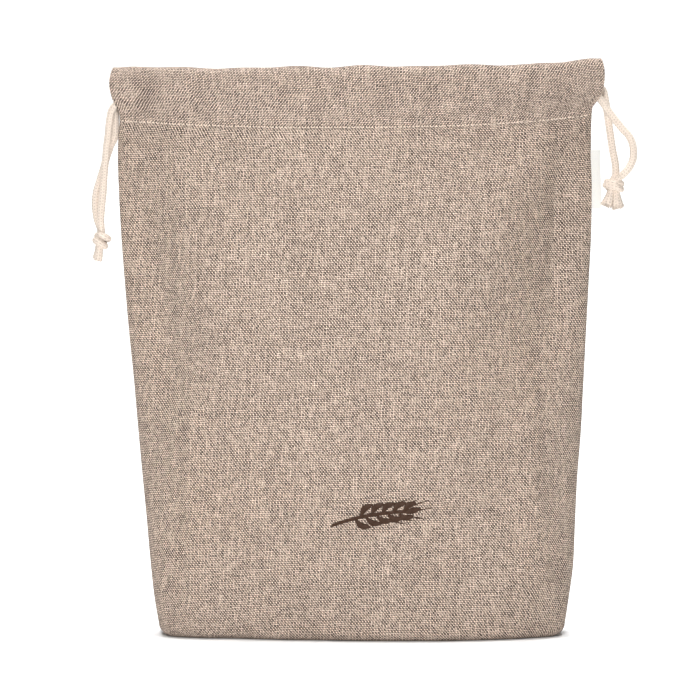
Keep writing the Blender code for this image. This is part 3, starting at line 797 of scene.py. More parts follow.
def thin_thread(shell: Shell, line: np.ndarray, radii: np.ndarray, sides: int = 5,
                hollow: float = 0.0) -> None:
    """Add a thin round thread along a line.

    Args:
        shell: what the thread is added to.
        line: the ring centres.
        radii: the radius at each.
        sides: corners of each ring.
        hollow: how dark the thread is, 0 to 1.
    """
    tangents = np.gradient(line, axis=0)
    tangents /= np.linalg.norm(tangents, axis=1)[:, None]
    helper = np.array((0.0, 1.0, 0.0)) if abs(tangents[0][1]) < 0.8 else np.array((1.0, 0.0, 0.0))
    sides_a = np.cross(tangents, helper)
    sides_a /= np.linalg.norm(sides_a, axis=1)[:, None]
    sides_b = np.cross(tangents, sides_a)
    angles = np.linspace(0.0, 2 * math.pi, sides, endpoint=False)
    points = (line[:, None, :] + radii[:, None, None]
              * (np.cos(angles)[None, :, None] * sides_a[:, None, :]
                 + np.sin(angles)[None, :, None] * sides_b[:, None, :])).reshape(-1, 3)
    count = len(line)
    along = np.concatenate([[0.0], np.cumsum(np.linalg.norm(np.diff(line, axis=0), axis=1))])
    flat = np.stack([np.broadcast_to(angles * 0.0003, (count, sides)),
                     np.broadcast_to(along[:, None], (count, sides))], axis=2).reshape(-1, 2)
    faces = grid_faces(count, sides, around=True)
    faces.append(tuple(reversed(range(sides))))
    faces.append(tuple(range((count - 1) * sides, count * sides)))
    shell.add(points, faces, flat, np.full(len(points), hollow))


# ---------------------------------------------------------------------------------------------
# Cloth
# ---------------------------------------------------------------------------------------------


def smooth_read(xs: np.ndarray, ys: np.ndarray, at: float) -> float:
    """Read a table with a smooth curve that doesn't overshoot its own values."""
    step = np.diff(xs)
    slope = np.diff(ys) / step
    lean = np.zeros(len(xs))
    same = slope[:-1] * slope[1:] > 0
    lean[1:-1][same] = 2 * slope[:-1][same] * slope[1:][same] / (slope[:-1] + slope[1:])[same]
    lean[0], lean[-1] = slope[0], slope[-1]
    i = int(np.clip(np.searchsorted(xs, at) - 1, 0, len(xs) - 2))
    t = float(np.clip((at - xs[i]) / step[i], 0.0, 1.0))
    return float((1 + 2 * t) * (1 - t) ** 2 * ys[i] + t * (1 - t) ** 2 * step[i] * lean[i]
                 + t * t * (3 - 2 * t) * ys[i + 1] + t * t * (t - 1) * step[i] * lean[i + 1])


HEIGHTS = np.array([section.height for section in SECTIONS])


def section_value(name: str, height: float) -> float:
    """Read one column of the section table at any height."""
    return smooth_read(HEIGHTS, np.array([getattr(section, name) for section in SECTIONS]), height)


def ease(value: np.ndarray | float) -> np.ndarray | float:
    """Go smoothly from 0 to 1 as the value does."""
    share = np.clip(value, 0.0, 1.0)
    return share * share * (3 - 2 * share)


def tilt_share(side: np.ndarray) -> np.ndarray:
    """Share of the tilt across: even towards the left end, and late towards the right one."""
    turn = ease((side + 0.35) / 0.70)
    return side * (1 - turn) + np.maximum(side, 0.0) ** 5 * turn


@dataclass
class Panel:
    """One half of the bag: bottom, wall, rounded top fold and turned-in hem, in one cloth."""

    name: str
    node: str
    facing: Facing
    folds: tuple[Fold, ...]
    creases: tuple[Fold, ...]
    wrinkles: tuple[Wrinkle, ...]
    phase: float                  # shifts the small uneven waves
    columns: int = 205
    bottom_rows: int = 9
    foot_rows: int = 7
    wall_step: float = 0.0024
    fine_step: float = 0.0008
    fine_reach: float = 0.0065    # the wall's rows are closer together this near the stitches
    fold_rows: int = 12
    hem_rows: int = 16
    groove_depth: float = 0.0011
    groove_width: float = 0.0014
    casing_puff: float = 0.0009
    pucker: float = 0.00042
    rim_wave: float = 0.0008
    side_fall: float = 0.0082     # how far the cloth falls back towards the side seams

    def folds_at(self, x: np.ndarray, height: float) -> np.ndarray:
        """Add up how far the folds push the cloth outwards."""
        return sum((self.bend_at(x, height, fold) for fold in self.folds + self.creases),
                   np.zeros_like(x))

    @staticmethod
    def bend_at(x: np.ndarray, height: float, fold: Fold) -> np.ndarray:
        """How far one fold pushes the cloth outwards."""
        along = (fold.x1 - fold.x0, fold.z1 - fold.z0)
        off_x, off_z = x - fold.x0, height - fold.z0
        share = np.clip((off_x * along[0] + off_z * along[1])
                        / (along[0] ** 2 + along[1] ** 2), 0.0, 1.0)
        gap = np.hypot(off_x - share * along[0], off_z - share * along[1])
        return fold.height * np.exp(-((gap / fold.width) ** 2))

    def puckers_at(self, x: np.ndarray) -> np.ndarray:
        """Uneven gathers that the line of stitches pulls into the cloth, from about -1 to 1."""
        p = self.phase
        return (0.45 * np.sin(x * 590 + 1.3 * np.sin(x * 83 + p) + p)
                + 0.35 * np.sin(x * 940 + 2.1 * np.sin(x * 51 + 2 * p) + 2.2 * p)
                + 0.30 * np.sin(x * 330 + 0.9 * np.sin(x * 131) + 3.1 * p))

    def wrinkles_at(self, x: np.ndarray, over: float) -> np.ndarray:
        """How far the casing's wrinkles push the cloth outwards, at a height over the stitches."""
        relief = np.zeros_like(x)
        if over > 0.0:
            held = float(ease(over / 0.010)) * (1.0 - 0.35 * float(ease((over - 0.022) / 0.014)))
            for wrinkle in self.wrinkles:
                centre = wrinkle.x + wrinkle.lean * (over - CASING_HEIGHT / 2)
                relief += held * wrinkle.height * np.exp(-(((x - centre) / wrinkle.width) ** 2))
        return relief

    def painted_crease_shade(self, x: np.ndarray, height: float) -> np.ndarray:
        """Shade painted on the cloth at a height, 0 to 1: in creases and under the stitches."""
        dents = self.wrinkles_at(x, height - STITCH_LINE) + sum(
            (self.bend_at(x, height, crease) for crease in self.creases), np.zeros_like(x))
        groove = math.exp(-(((height - STITCH_LINE) / 0.0009) ** 2))
        return np.clip(groove + 0.9 * np.clip(-dents / 0.0020, 0.0, 1.0), 0.0, 1.0)

    def fine_relief(self, x: np.ndarray, height: float) -> np.ndarray:
        """Casing wrinkles, the stitched groove and its puckers, and slow unevenness."""
        relief = 0.00022 * np.sin(x * 118 + height * 61 + self.phase)
        relief += 0.00018 * np.sin(x * 47 - height * 140 + 2 * self.phase)
        relief += 0.00016 * np.sin(x * 205 + 1.4 * np.sin(height * 90) + 3 * self.phase)
        over = height - STITCH_LINE
        if over > 0.0:
            relief += self.wrinkles_at(x, over)
            relief += self.casing_puff * math.exp(-(((over - 0.009) / 0.0075) ** 2))
        reach = 0.0095 if over > 0.0 else 0.0160
        gathers = math.exp(-((over / reach) ** 2)) * (0.35 + 0.65 * float(ease(abs(over) / 0.0025)))
        relief += self.pucker * gathers * self.puckers_at(x)
        relief -= self.groove_depth * math.exp(-((over / self.groove_width) ** 2))
        return relief

    def line(self, height: float, inset: float, places: np.ndarray,
             section_height: float | None = None) -> np.ndarray:
        """Points of a skin along one level line, with y counted outwards from the seam plane.

        Args:
            height: height of the line at the side seams.
            inset: how far the skin lies inside the outer face.
            places: shares of the line's length, 0 at the left side and 1 at the right.
            section_height: height of the cut that gives the line's shape, where it is another one.
        """
        cut = height if section_height is None else section_height
        left, right = section_value("left", cut), section_value("right", cut)
        depth, parted = section_value("depth", cut), section_value("parted", cut)
        middle, half = (left + right) / 2, (right - left) / 2
        across = -np.cos(np.linspace(0.0, math.pi, 721))
        swell = np.clip(1 - np.abs(across) ** section_value("bow", cut), 0, 1)
        x = middle + half * across
        y = parted + (depth - parted) * swell ** section_value("blunt", cut)
        slope_x, slope_y = np.gradient(x), np.gradient(y)
        length = np.hypot(slope_x, slope_y)
        travelled = np.concatenate([[0.0], np.cumsum(np.hypot(np.diff(x), np.diff(y)))])
        travelled /= travelled[-1]
        px, py, nx, ny = (np.interp(places, travelled, curve)
                          for curve in (x, y, -slope_y / length, slope_x / length))
        side = (px - middle) / half
        fade = np.minimum(1.0, half * (1 - np.abs(side)) / FOLD_FADE)
        fine_fade = ease(half * (1 - np.abs(side)) / 0.008)
        push = fade * self.folds_at(px, cut) + fine_fade * self.fine_relief(px, cut) - inset
        push -= fade * self.side_fall * side**4 * (1 - ease((cut - FALL_END) / (STITCH_LINE - FALL_END)))
        rise = (section_value("tilt", height) * tilt_share(side)
                - section_value("sag", height) * (1 - side**2))
        near_rim = ease((height - STITCH_LINE) / CASING_HEIGHT)
        rise += self.rim_wave * near_rim * fine_fade * self.rim_at(px)
        return np.stack([px + nx * push, np.maximum(py + ny * push, SEAM), height + rise], axis=1)

    def rim_at(self, x: np.ndarray) -> np.ndarray:
        """Uneven rise of the top fold, from about -1 to 1."""
        return (0.6 * np.sin(x * 96 + 1.2 * np.sin(x * 31) + self.phase)
                + 0.4 * np.sin(x * 171 + 2.4 * self.phase))

    def columns_at(self, setback: float) -> np.ndarray:
        """Places of the columns along a line, closer together near the side seams."""
        even = np.linspace(0.0, 1.0, self.columns + 1)
        crowded = (1 - np.cos(math.pi * even)) / 2
        margin = setback / (SECTIONS[-1].right - SECTIONS[-1].left)
        return margin + (1 - 2 * margin) * (0.7 * even + 0.3 * crowded)

    def wall_heights(self) -> list[float]:
        """Heights of the wall's rows, close together along the stitches."""
        top = RIM_HEIGHT - FOLD_RISE
        heights, height = [], FOOT_RADIUS
        while height < top - 0.0006:
            heights.append(height)
            near = abs(height - STITCH_LINE) < self.fine_reach
            height += self.fine_step if near else self.wall_step
        return heights

    def skins(self) -> tuple[list[np.ndarray], list[np.ndarray], list[np.ndarray], list[float]]:
        """Rows of both skins, the columns' places and the heights that decide how hollow a row is."""
        outer, inner, places, levels = [], [], [], []
        full = self.columns_at(0.0)

        def keep(first: np.ndarray, second: np.ndarray, where: np.ndarray, level: float) -> None:
            """Keep one row of each skin."""
            outer.append(first)
            inner.append(second)
            places.append(where)
            levels.append(level)

        foot = self.line(FOOT_RADIUS, FOOT_RADIUS, full)
        for step in range(self.bottom_rows, 0, -1):
            share = step / self.bottom_rows
            row = foot.copy()
            middle = (row[0, 0] + row[-1, 0]) / 2
            row[:, 0] = middle + (row[:, 0] - middle) * (1 - (1 - BOTTOM_CENTRE_RATIO) * share)
            row[:, 1] = SEAM + (row[:, 1] - SEAM) * (1 - share)
            row[:, 2] = 0.0
            lifted = row.copy()
            lifted[:, 2] = CLOTH
            keep(row, lifted, full, 0.0)
        for step in range(self.foot_rows):
            angle = math.pi / 2 * step / self.foot_rows
            pair = [self.line(FOOT_RADIUS - radius * math.cos(angle),
                              FOOT_RADIUS - radius * math.sin(angle), full, FOOT_RADIUS)
                    for radius in (FOOT_RADIUS, FOOT_RADIUS - CLOTH)]
            keep(pair[0], pair[1], full, 0.0)
        for height in self.wall_heights():
            keep(self.line(height, 0.0, full), self.line(height, CLOTH, full), full, height)
        shoulder, half = RIM_HEIGHT - FOLD_RISE, CLOTH + TUNNEL / 2
        for step in range(self.fold_rows + 1):
            angle = math.pi * step / self.fold_rows
            where = self.columns_at(HEM_SETBACK * max(0.0, 2 * step / self.fold_rows - 1))
            pair = [self.line(shoulder + (FOLD_RISE - thinner) * math.sin(angle),
                              half - (half - thinner) * math.cos(angle), where)
                    for thinner in (0.0, CLOTH)]
            keep(pair[0], pair[1], where, RIM_HEIGHT)
        hem = self.columns_at(HEM_SETBACK)
        drops = np.linspace(0.0100, CASING_HEIGHT + 0.0012, self.hem_rows)
        rooms = np.interp(drops, (0.0, 0.0270, 0.0320, CASING_HEIGHT - 0.0006, 1.0),
                          (TUNNEL, TUNNEL, 0.0030, TOUCH, TOUCH))
        for drop, room in zip(drops, rooms):
            height = RIM_HEIGHT - drop
            keep(self.line(height, 2 * CLOTH + room, hem), self.line(height, CLOTH + room, hem),
                 hem, RIM_HEIGHT)
        return outer, inner, places, levels

    def build(self) -> bpy.types.Object:
        """Build the panel and hide the part that it replaces."""
        outer, inner, places, levels = self.skins()
        rows, width = len(outer), self.columns + 1
        middle = np.array([row[width // 2] for row in outer])
        travelled = np.concatenate([[0.0], np.cumsum(np.linalg.norm(np.diff(middle, axis=0), axis=1))])
        # Counted back down past the stitches, so that the weave's painted diagonal shade runs the other way
        # in the casing
        hem = travelled[next(row for row, level in enumerate(levels) if level > STITCH_LINE)]
        travelled = np.where(travelled > hem, 2 * hem - travelled, travelled)
        shell = Shell()
        for skin in (outer, inner):
            points = np.concatenate(skin)
            points[:, 1] *= self.facing.value
            flat = np.concatenate([np.stack([(where - 0.5) * CLOTH_WIDTH, np.full(width, far)], axis=1)
                                   for where, far in zip(places, travelled)])
            # painted shade in the creases, casing wrinkles and under the stitches
            hollow = np.concatenate([self.painted_crease_shade(row[:, 0], level)
                                     for row, level in zip(skin, levels)])
            shell.add(points, grid_faces(rows, width), flat, hollow)
        close_skins(shell, rows, width, flip=self.facing is Facing.BACK)
        piece = shell.piece(self.name, LINEN.material(), CLOTH_MAP, sharp=55.0)
        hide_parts(self.node)
        return piece

    def stitches(self, name: str, inset: float, lift: float, setback: float) -> bpy.types.Object:
        """Build the row of stitches that holds the hem.

        Args:
            name: the piece's name.
            inset: how far the stitches lie inside the outer face, before they are lifted.
            lift: how far the middle of each stitch stands out of the cloth.
            setback: the row stops this far short of each side.
        """
        pitch, length, radius, rings = 0.0029, 0.0022, 0.00028, 7
        places = np.linspace(0.0, 1.0, 2401)
        base = self.line(STITCH_LINE, inset, places)
        high = self.line(STITCH_LINE, inset - lift if inset <= 0 else inset + lift, places)
        travelled = np.concatenate([[0.0], np.cumsum(np.linalg.norm(np.diff(base, axis=0), axis=1))])
        shell = Shell()
        start = setback
        wobble = np.random.default_rng(11)
        while start + length < travelled[-1] - setback:
            steps = np.linspace(start, start + length * wobble.uniform(0.9, 1.05), rings)
            bulge = np.sin(np.linspace(0.0, math.pi, rings)) ** 0.6
            ends = [np.stack([np.interp(steps, travelled, skin[:, axis]) for axis in range(3)], axis=1)
                    for skin in (base, high)]
            line = ends[0] + (ends[1] - ends[0]) * bulge[:, None]
            line[:, 2] += wobble.uniform(-0.00008, 0.00008)
            line[:, 1] *= self.facing.value
            thin_thread(shell, line, radius * (0.55 + 0.45 * bulge), sides=6)
            start += pitch * wobble.uniform(0.94, 1.06)
        return shell.piece(name, SEWING.material(), BRAID_MAP)


# ---------------------------------------------------------------------------------------------
# Cords and knots
# ---------------------------------------------------------------------------------------------


@dataclass
class Strand:
    """One free end of a drawstring, from the casing to the knot."""

    name: str
    node: str
    route: tuple[tuple[float, float, float], ...]
    length: float
    start: float                  # where along the braid's pattern it starts
    braid: Braid = field(default_factory=Braid)

    def build(self, knot: bpy.types.Object) -> bpy.types.Object:
        """Build the strand and say how long it is."""
        line = smooth_route(self.route, self.braid.spacing)
        shell = Shell()
        self.braid.tube(shell, line, start=self.start)
        piece = shell.piece(self.name, COTTON.material(), BRAID_MAP)
        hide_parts(self.node)
        measured = float(np.linalg.norm(np.diff(line, axis=0), axis=1).sum())
        log.info("%s: %.4f m", self.name, measured)
        return piece


@dataclass
class Knot:
    """An overhand knot in both strands of a drawstring, with two frayed tails."""

    name: str
    node: str
    centre: tuple[float, float, float]
    tilt: float                   # degrees by which its right side drops
    wraps: tuple[tuple[float, float, float, float, float, float], ...]
    cores: tuple[tuple[tuple[float, float, float], ...], ...]
    tails: tuple[tuple[tuple[float, float, float], ...], ...]
    flare: float
    fray_length: float
    frays: int
    seed: int
    radius: float = 0.0023

    def wrap_line(self, wrap: tuple[float, float, float, float, float, float]) -> np.ndarray:
        """Line of one turn of cord about the knot's middle.

        Args:
            wrap: half width, half depth, first height, last height, first turn and last turn.
        """
        half_width, half_depth, first, last, begin, end = wrap
        share = np.linspace(0.0, 1.0, 240)
        turn = 2 * math.pi * (begin + (end - begin) * share)
        tuck = 1.0 - 0.45 * (np.clip(0.12 - share, 0, 1) + np.clip(share - 0.88, 0, 1)) / 0.12
        line = np.stack([half_width * tuck * np.cos(turn), half_depth * tuck * np.sin(turn),
                         first + (last - first) * ease(share)], axis=1)
        tilt = math.radians(self.tilt)
        x = line[:, 0] * math.cos(tilt) + line[:, 2] * math.sin(tilt)
        z = -line[:, 0] * math.sin(tilt) + line[:, 2] * math.cos(tilt)
        return np.stack([x, line[:, 1], z], axis=1) + np.array(self.centre)

    def build(self) -> bpy.types.Object:
        """Build the knot as one piece."""
        braid = Braid(radius=self.radius, relief=0.00040, sides=32, spacing=0.00034)
        shell = Shell()
        for number, wrap in enumerate(self.wraps):
            braid.tube(shell, even_points(self.wrap_line(wrap), braid.spacing), start=0.0007 * number)
        for number, core in enumerate(self.cores):
            braid.tube(shell, smooth_route(core, braid.spacing), start=0.0004 * number)
        draw = np.random.default_rng(self.seed)
        for number, tail in enumerate(self.tails):
            line = smooth_route(tail, braid.spacing)
            loose = Braid(radius=self.radius * 1.06, relief=0.00055, sides=36, spacing=0.00034)
            loose.tube(shell, line, swell=lambda share: 1.0 + self.flare * ease(share * 1.1) ** 1.5
                       - 0.25 * ease((share - 0.9) / 0.1), start=0.0011 * number)
            self.fray(shell, line, draw)
        piece = shell.piece(self.name, COTTON.material(), BRAID_MAP)
        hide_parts(self.node)
        return piece

    def fray(self, shell: Shell, line: np.ndarray, draw: np.random.Generator) -> None:
        """Add the loose yarn ends of a tail.

        Args:
            shell: what the yarns are added to.
            line: the tail's centre line.
            draw: where random numbers come from.
        """
        along = line[-1] - line[-6]
        along /= np.linalg.norm(along)
        side = np.cross(along, (0.0, 1.0, 0.0))
        side /= np.linalg.norm(side)
        deep = np.cross(along, side)
        reach = self.radius * (1.0 + self.flare) * 0.92
        for _ in range(self.frays):
            angle, far = draw.uniform(0, 2 * math.pi), math.sqrt(draw.uniform(0.02, 1.0))
            out = math.cos(angle) * side + math.sin(angle) * deep
            root = line[-1] - along * 0.0012 + out * far * reach
            length = self.fray_length * draw.uniform(0.55, 1.0)
            lean = out * far * draw.uniform(0.15, 0.55) + side * draw.uniform(-0.12, 0.12)
            tip = root + (along + lean) * length
            bend = (out * draw.uniform(-0.10, 0.16) + side * draw.uniform(-0.1, 0.1)) * length
            share = np.linspace(0.0, 1.0, 6)[:, None]
            yarn = root + (tip - root) * share + bend * 4 * share * (1 - share)
            radii = np.linspace(0.00042, 0.00022, 6) * draw.uniform(0.7, 1.2)
            thin_thread(shell, yarn, radii, sides=5, hollow=draw.uniform(0.0, 0.5))


@dataclass
class HiddenRun:
    """The part of a drawstring inside the casings, from one side once round the mouth."""

    name: str
    node: str
    drop: float
    exit_x: float

    def casing_line(self, panel: Panel, x_start: float, x_end: float) -> np.ndarray:
        """Middle line of the cord in one casing."""
        row = panel.line(RIM_HEIGHT - self.drop, CLOTH + TUNNEL / 2, np.linspace(0.0, 1.0, 241))
        xs = np.linspace(x_start, x_end, 41)
        return np.stack([xs, panel.facing.value * np.interp(xs, row[:, 0], row[:, 1]),
                         np.interp(xs, row[:, 0], row[:, 2])], axis=1)

    def build(self, front: Panel, back: Panel) -> bpy.types.Object:
        """Build the run as one piece."""
        away = -math.copysign(1.0, self.exit_x)
        turn_x = away * (SECTIONS[-1].right - HEM_SETBACK)
        outward = self.casing_line(front, self.exit_x, turn_x)
        homeward = self.casing_line(back, turn_x, self.exit_x)
        start, end = outward[-1], homeward[0]
        angles = np.linspace(0.0, math.pi, 14)[1:-1, None]
        turn = ((start + end) / 2 - (end - start) / 2 * np.cos(angles)
                + np.array((away, 0.0, 0.0)) * np.linalg.norm(end - start) / 2 * np.sin(angles))
        line = even_points(np.vstack([outward, turn, homeward]), 0.0009)
        shell = Shell()
        Braid(sides=24, spacing=0.0009).tube(shell, line)
        piece = shell.piece(self.name, COTTON.material(), BRAID_MAP)
        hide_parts(self.node)
        return piece


# ---------------------------------------------------------------------------------------------
# Label and embroidery
# ---------------------------------------------------------------------------------------------


@dataclass
class SideLabel:
    """A short white tape, folded double and caught in the right side seam, left blank."""

    top: float = 0.3132
    height: float = 0.0375
    reach: float = 0.0068
    caught: float = 0.0008        # how much of it lies between the panels
    tape: float = 0.00042
    gap: float = 0.00012

    def build(self) -> bpy.types.Object:
        """Build the tape as one closed shell that runs out, round its fold and back."""
        rows, turns, flat_columns = 76, 9, 12
        out = np.linspace(0.0, self.reach - self.tape, flat_columns)
        radius = self.tape + self.gap / 2
        angles = np.linspace(-math.pi / 2, math.pi / 2, turns)[1:-1]

        def profile(half: float) -> np.ndarray:
            """Points of one skin in x and y, from the seam round the fold and back."""
            front = np.stack([out, np.full(len(out), -half)], axis=1)
            bend = np.stack([out[-1] + half * np.cos(angles), half * np.sin(angles)], axis=1)
            return np.vstack([front, bend, front[::-1] * (1, -1)])

        skins = [profile(radius), profile(self.gap / 2)]
        width = len(skins[0])
        shell = Shell()
        downs = np.linspace(0.0, 1.0, rows)
        for skin in skins:
            points, flats = [], []
            along = np.concatenate([[0.0], np.cumsum(np.linalg.norm(np.diff(skin, axis=0), axis=1))])
            for down in downs:
                edge = section_value("right", self.top - down * self.height) - self.caught
                wave = 0.00035 * math.sin(2 * math.pi * down + 0.4) + 0.00015 * math.sin(9 * down)
                far = skin[:, 0] / self.reach
                x = edge + skin[:, 0] * (1 - 0.03 * math.sin(3 * down))
                z = self.top - down * self.height - 0.0006 * far * (down - 0.2)
                points.append(np.stack([x, skin[:, 1] + wave * far, z], axis=1))
                flats.append(np.stack([along, np.full(width, down * self.height)], axis=1))
            flat = np.concatenate(flats)
            shell.add(np.concatenate(points), grid_faces(rows, width), flat, np.zeros(len(flat)))
        close_skins(shell, rows, width, flip=True)
        piece = shell.piece("label_tape", TAPE.material(), CLOTH_MAP)
        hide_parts("side_label")
        return piece


@dataclass
class WheatEar:
    """A wheat ear in brown satin stitch, low on the front."""

    panel: Panel
    height: float = 0.00075       # how far the stitches stand out of the cloth
    thread: float = 0.00040       # from one thread to the next
    step: float = 0.00013
    skew: float = 0.0009
    pairs: int = 5
    first_pair: float = 0.37      # share of the stem where the first pair of grains sits
    pair_step: float = 0.145
    splay: float = 40.0           # degrees between the first grains and the stem
    splay_step: float = 4.0
    grain_length: float = 0.0108
    grain_half_width: float = 0.00205
    awn_length: float = 0.0085
    first_awn: int = 2            # the first pair with awns

    def spots(self, x: np.ndarray, z: np.ndarray) -> tuple[np.ndarray, np.ndarray]:
        """Places on the cloth and its outward directions at points of the front."""
        heights = np.linspace(z.min() - 0.001, z.max() + 0.001, 25)
        grid = [self.panel.line(height, 0.0, np.linspace(0.0, 1.0, 321)) for height in heights]
        xs = np.linspace(x.min() - 0.001, x.max() + 0.001, 80)
        table = np.array([np.interp(xs, row[:, 0], row[:, 1]) for row in grid])

        def depth(px: np.ndarray, pz: np.ndarray) -> np.ndarray:
            """Depth of the cloth at points, read between the table's values."""
            i = np.clip((pz - heights[0]) / (heights[1] - heights[0]), 0, len(heights) - 1.001)
            j = np.clip((px - xs[0]) / (xs[1] - xs[0]), 0, len(xs) - 1.001)
            low_i, low_j = i.astype(int), j.astype(int)
            a, b = i - low_i, j - low_j
            return ((1 - a) * ((1 - b) * table[low_i, low_j] + b * table[low_i, low_j + 1])
                    + a * ((1 - b) * table[low_i + 1, low_j] + b * table[low_i + 1, low_j + 1]))

        small = 0.0005
        slope_x = (depth(x + small, z) - depth(x - small, z)) / (2 * small)
        slope_z = (depth(x, z + small) - depth(x, z - small)) / (2 * small)
        normal = np.stack([-slope_x, -np.ones_like(x), -slope_z], axis=-1)
        normal /= np.linalg.norm(normal, axis=-1, keepdims=True)
        return np.stack([x, -depth(x, z), z], axis=-1), normal

    def satin(self, shell: Shell, line: Sequence[tuple[float, float]],
              half_width: Callable[[np.ndarray], np.ndarray]) -> None:
        """Add one satin-stitched shape.

        Args:
            shell: what it is added to.
            line: its middle line on the front, in x and z.
            half_width: half its width, from shares of its length, 0 to 1.
        """
        route = smooth_route([(x, 0.0, z) for x, z in line], self.step)
        count = len(route)
        share = np.linspace(0.0, 1.0, count)
        tangent = np.gradient(route, axis=0)
        tangent /= np.linalg.norm(tangent, axis=1)[:, None]
        across = np.linspace(-1.0, 1.0, 9)
        half = half_width(share)
        slant = self.skew * across[None, :] * np.minimum(1.0, half / 0.001)[:, None]
        x = (route[:, 0:1] + half[:, None] * across * -tangent[:, 2:3] + slant * tangent[:, 0:1])
        z = (route[:, 2:3] + half[:, None] * across * tangent[:, 0:1] + slant * tangent[:, 2:3])
        base, normal = self.spots(x, z)
        along = share * (count - 1) * self.step
        ridge = np.abs(np.sin(math.pi * along / self.thread))
        round_top = np.sqrt(np.clip(1 - across**2, 0.0, 1.0))
        tall = self.height * np.clip(half / 0.0012, 0.25, 1.0)
        lift = tall[:, None] * (0.12 + 0.88 * round_top[None, :]) - 0.00012 * (1 - ridge)[:, None]
        top = base + normal * lift[:, :, None]
        under = base[:, ::-1] - normal[:, ::-1] * 0.0004
        rings = np.concatenate([top, under], axis=1)
        sides = rings.shape[1]
        flat_across = np.concatenate([across * half.max(), across[::-1] * half.max()])
        flat = np.stack([np.broadcast_to(along[:, None], (count, sides)),
                         np.broadcast_to(flat_across, (count, sides))], axis=2).reshape(-1, 2)
        # painted shade between the satin threads
        hollow = np.broadcast_to((np.clip(1 - ridge * 1.5, 0, 1))[:, None], (count, sides)).reshape(-1)
        faces = [face[::-1] for face in grid_faces(count, sides, around=True)]
        faces.append(tuple(range(sides)))
        faces.append(tuple(reversed(range((count - 1) * sides, count * sides))))
        shell.add(rings.reshape(-1, 3), faces, flat, hollow)

    def build(self) -> bpy.types.Object:
        """Build the ear: a curved stem, five pairs of grains, one at the tip, and awns."""
        shell = Shell()
        stem = [(-0.0170, 0.0745), (-0.0090, 0.0772), (0.0000, 0.0797), (0.0100, 0.0816),
                (0.0200, 0.0829), (0.0300, 0.0836)]
        self.satin(shell, stem, lambda share: 0.00105 + 0.00015 * np.sin(math.pi * share))

        def grain(share: np.ndarray) -> np.ndarray:
            """Half width of a grain along its length."""
            return self.grain_half_width * np.sin(math.pi * np.clip(share, 0.04, 0.96)) ** 0.62

        def awn(share: np.ndarray) -> np.ndarray:
            """Half width of an awn along its length."""
            return 0.00052 - 0.00030 * share

        line = smooth_route([(x, 0.0, z) for x, z in stem], 0.0002)
        axis = math.atan2(line[-1][2] - line[-60][2], line[-1][0] - line[-60][0])
        for number in range(self.pairs):
            place = self.first_pair + self.pair_step * number
            spot = line[min(len(line) - 1, int(len(line) * place))]
            for side in (1, -1):
                lean = axis + side * math.radians(self.splay - self.splay_step * number)
                length = self.grain_length - 0.0004 * number
                start = (spot[0] + (0.0010 if side > 0 else -0.0014), spot[2] + side * 0.0012)
                middle = (start[0] + 0.5 * length * math.cos(lean + side * 0.20),
                          start[1] + 0.5 * length * math.sin(lean + side * 0.20))
                end = (start[0] + length * math.cos(lean - side * 0.10),
                       start[1] + length * math.sin(lean - side * 0.10))
                self.satin(shell, [start, middle, end], grain)
                if number >= self.first_awn:
                    tip = (end[0] + self.awn_length * math.cos(axis + side * 0.25),
                           end[1] + self.awn_length * math.sin(axis + side * 0.25))
                    self.satin(shell, [end, ((end[0] + tip[0]) / 2, (end[1] + tip[1]) / 2), tip], awn)
        self.satin(shell, [(0.0290, 0.0836), (0.0345, 0.0841), (0.0398, 0.0847)], grain)
        self.satin(shell, [(0.0395, 0.0847), (0.0430, 0.0852), (0.0465, 0.0858)], awn)
        return shell.piece("wheat_ear", BROWN.material(), BRAID_MAP)


# ---------------------------------------------------------------------------------------------
# Camera and studio
# ---------------------------------------------------------------------------------------------


